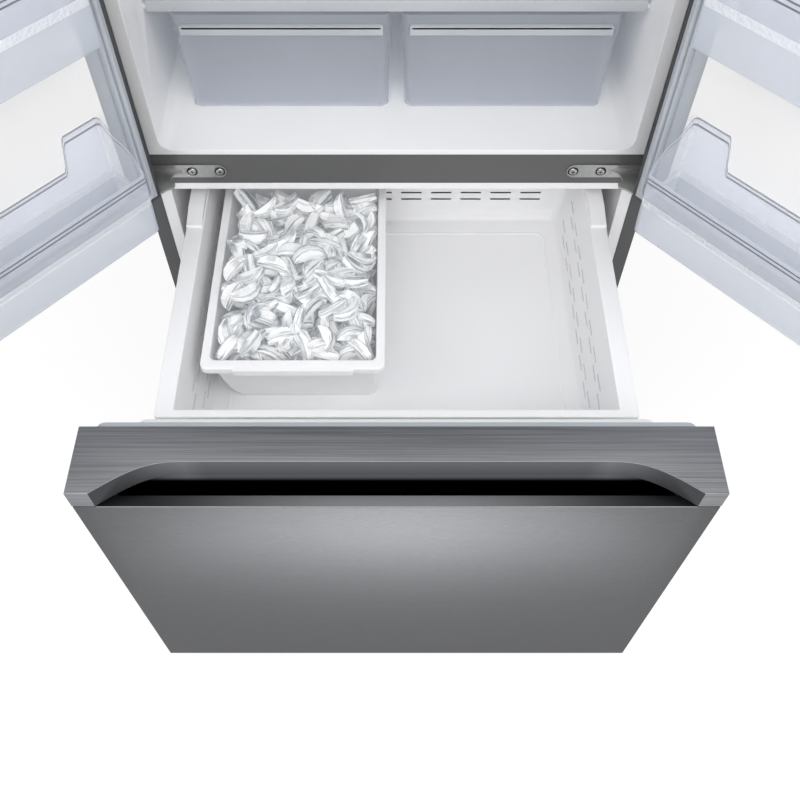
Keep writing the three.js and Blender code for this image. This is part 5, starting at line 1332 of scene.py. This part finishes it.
for shelf_name, shelf_level in SHELF_LEVELS.items():
    trim(shelf_name + "_front_trim", TRIM_FRONT, 117, 3, shelf_level - 5, shelf_level + 8)
    trim(shelf_name + "_rear_trim", 628, 638, 2, shelf_level - 3, shelf_level + 12)
trim("crisper_cover_front_trim", TRIM_FRONT, 118, 3, COVER_LEVEL - 11, COVER_LEVEL + 8)
for crisper_word, crisper_side in SIDES:
    crisper_pull(crisper_word, crisper_side)
duct_vents()
rolled_plate(
    "ceiling_lamp_lens", rounded_path(-170, 170, 130, 186, 12), CEILING - 3, CEILING + 0.5, 1.5, "cabinet",
    LINER_SLOT, LAMP_LENS,
)


# ---------------------------------------------------------------- pieces shown with rolled edges
ROLLED_EDGES = {  # each node's radius in millimetres
    "outer_wrapper": 1.0, "rear_panel": 0.3, "base_tray": 0.4, "mullion_rail": 0.4,
    "fresh_food_liner": 1.0, "freezer_liner": 0.9, "toe_grille": 0.8, "machine_cover": 0.4,
    "top_hinge_cover_left": 2.0, "top_hinge_cover_right": 2.0, "top_hinge_left": 0.6,
    "top_hinge_right": 0.6, "lower_hinge_left": 0.8, "lower_hinge_right": 0.8,
    "drawer_liner": 3.0,
    "slide_inner_left": 0.5, "slide_inner_right": 0.5, "slide_middle_left": 0.8,
    "slide_middle_right": 0.8, "slide_outer_left": 0.8, "slide_outer_right": 0.8,
    "lower_bin": 0.8,
    "left_door_skin": 1.0, "right_door_skin": 1.0,
    "crisper_left": 0.8, "crisper_right": 0.8, "crisper_cover": 1.0,
    "shelf_lower": 1.0, "shelf_upper": 1.0, "mullion_flap": 1.0, "ice_maker": 1.5,
    "compressor": 2.0, "condenser": 0.3, "condenser_fan": 0.5, "evaporator_cover": 0.5,
    "evaporator": 0.2, "evaporator_fan": 0.5, "leveling_foot_left": 0.8, "leveling_foot_right": 0.8,
    "rear_roller_left": 1.0, "rear_roller_right": 1.0, "cabinet_foam": 1.0,
}
for rolled_node, edge_radius in ROLLED_EDGES.items():
    rolled(rolled_node, edge_radius)


# ---------------------------------------------------------------- the studio
WORLD_LIGHT = 0.68
FLOOR_REACH = 7  # metres
LAMPS = (
    # name, place, target, size in metres, watts
    ("key_above", (0, -1.8, 3.3), (0, -0.3, 0.6), (2.2, 1.4), 18),
    ("front_fill", (0, -3.0, 2.4), (0, -0.1, 0.8), (3.0, 1.8), 31),
    ("fill_left", (-2.2, -1.5, 3.0), (0, -0.3, 0.7), (1.6, 1.6), 15),
    ("fill_right", (2.2, -1.5, 3.0), (0, -0.3, 0.7), (1.6, 1.6), 15),
    ("panel_glow", (0, -1.16, 0.03), (0, -0.7, 0.66), (0.4, 0.28), 1.7),
    ("panel_glow_wide", (0, -1.16, 0.02), (0, -0.7, 0.66), (1.0, 0.28), 5.2),
)


def seen_ray(tree):
    """One for a ray from the camera, or one that metal or glass sends on, and nought for light."""
    ray = add(tree, "LightPath").outputs
    polished = reckoned(tree, "MAXIMUM", ray["Is Glossy Ray"], ray["Is Transmission Ray"])
    return reckoned(tree, "MAXIMUM", ray["Is Camera Ray"], polished)


def surround():
    """A white world for the camera and in reflections, and a dimmer one as light."""
    world = bpy.data.worlds.new("studio")
    world.use_nodes = True
    bpy.context.scene.world = world
    tree = world.node_tree
    background = tree.nodes["Background"]
    background.inputs["Color"].default_value = linear("#ffffff")
    strength = add(tree, "MapRange", {"To Min": WORLD_LIGHT, "To Max": 1.0}, Value=seen_ray(tree))
    tree.links.new(strength.outputs["Result"], background.inputs["Strength"])


def pale_floor():
    """White to the camera and in reflections, with the object's shadow kept on it."""
    made, tree, principled = finish_of("pale_floor", Roughness=0.9, Base_Color=linear("#f2f2f2"))
    white = add(tree, "Emission", {"Color": linear("#ffffff"), "Strength": 1.1})
    share = reckoned(tree, "MULTIPLY", seen_ray(tree), 0.75)
    cover(tree, blended(tree, share, principled.outputs["BSDF"], white.outputs["Emission"]))
    return made


def studio_floor():
    """A plain square on the ground."""
    corners = [(-FLOOR_REACH, -FLOOR_REACH, 0), (FLOOR_REACH, -FLOOR_REACH, 0)]
    corners += [(FLOOR_REACH, FLOOR_REACH, 0), (-FLOOR_REACH, FLOOR_REACH, 0)]
    mesh = mesh_of("floor", corners, [(0, 1, 2, 3)])
    floor = bpy.data.objects.new("floor", mesh)
    bpy.context.scene.collection.objects.link(floor)
    mesh.materials.append(pale_floor())


def soft_lamp(name, place, target, size, watts):
    """A rectangular lamp that the camera doesn't see, aimed at a point."""
    data = bpy.data.lights.new(name, "AREA")
    data.shape = "RECTANGLE"
    data.size, data.size_y = size
    data.energy = watts
    lamp = bpy.data.objects.new(name, data)
    lamp.location = place
    lamp.rotation_euler = (Vector(target) - Vector(place)).to_track_quat("-Z", "Y").to_euler()
    lamp.visible_camera = False
    bpy.context.scene.collection.objects.link(lamp)


surround()
studio_floor()
for lamp in LAMPS:
    soft_lamp(*lamp)
bpy.context.scene.view_settings.view_transform = "Standard"
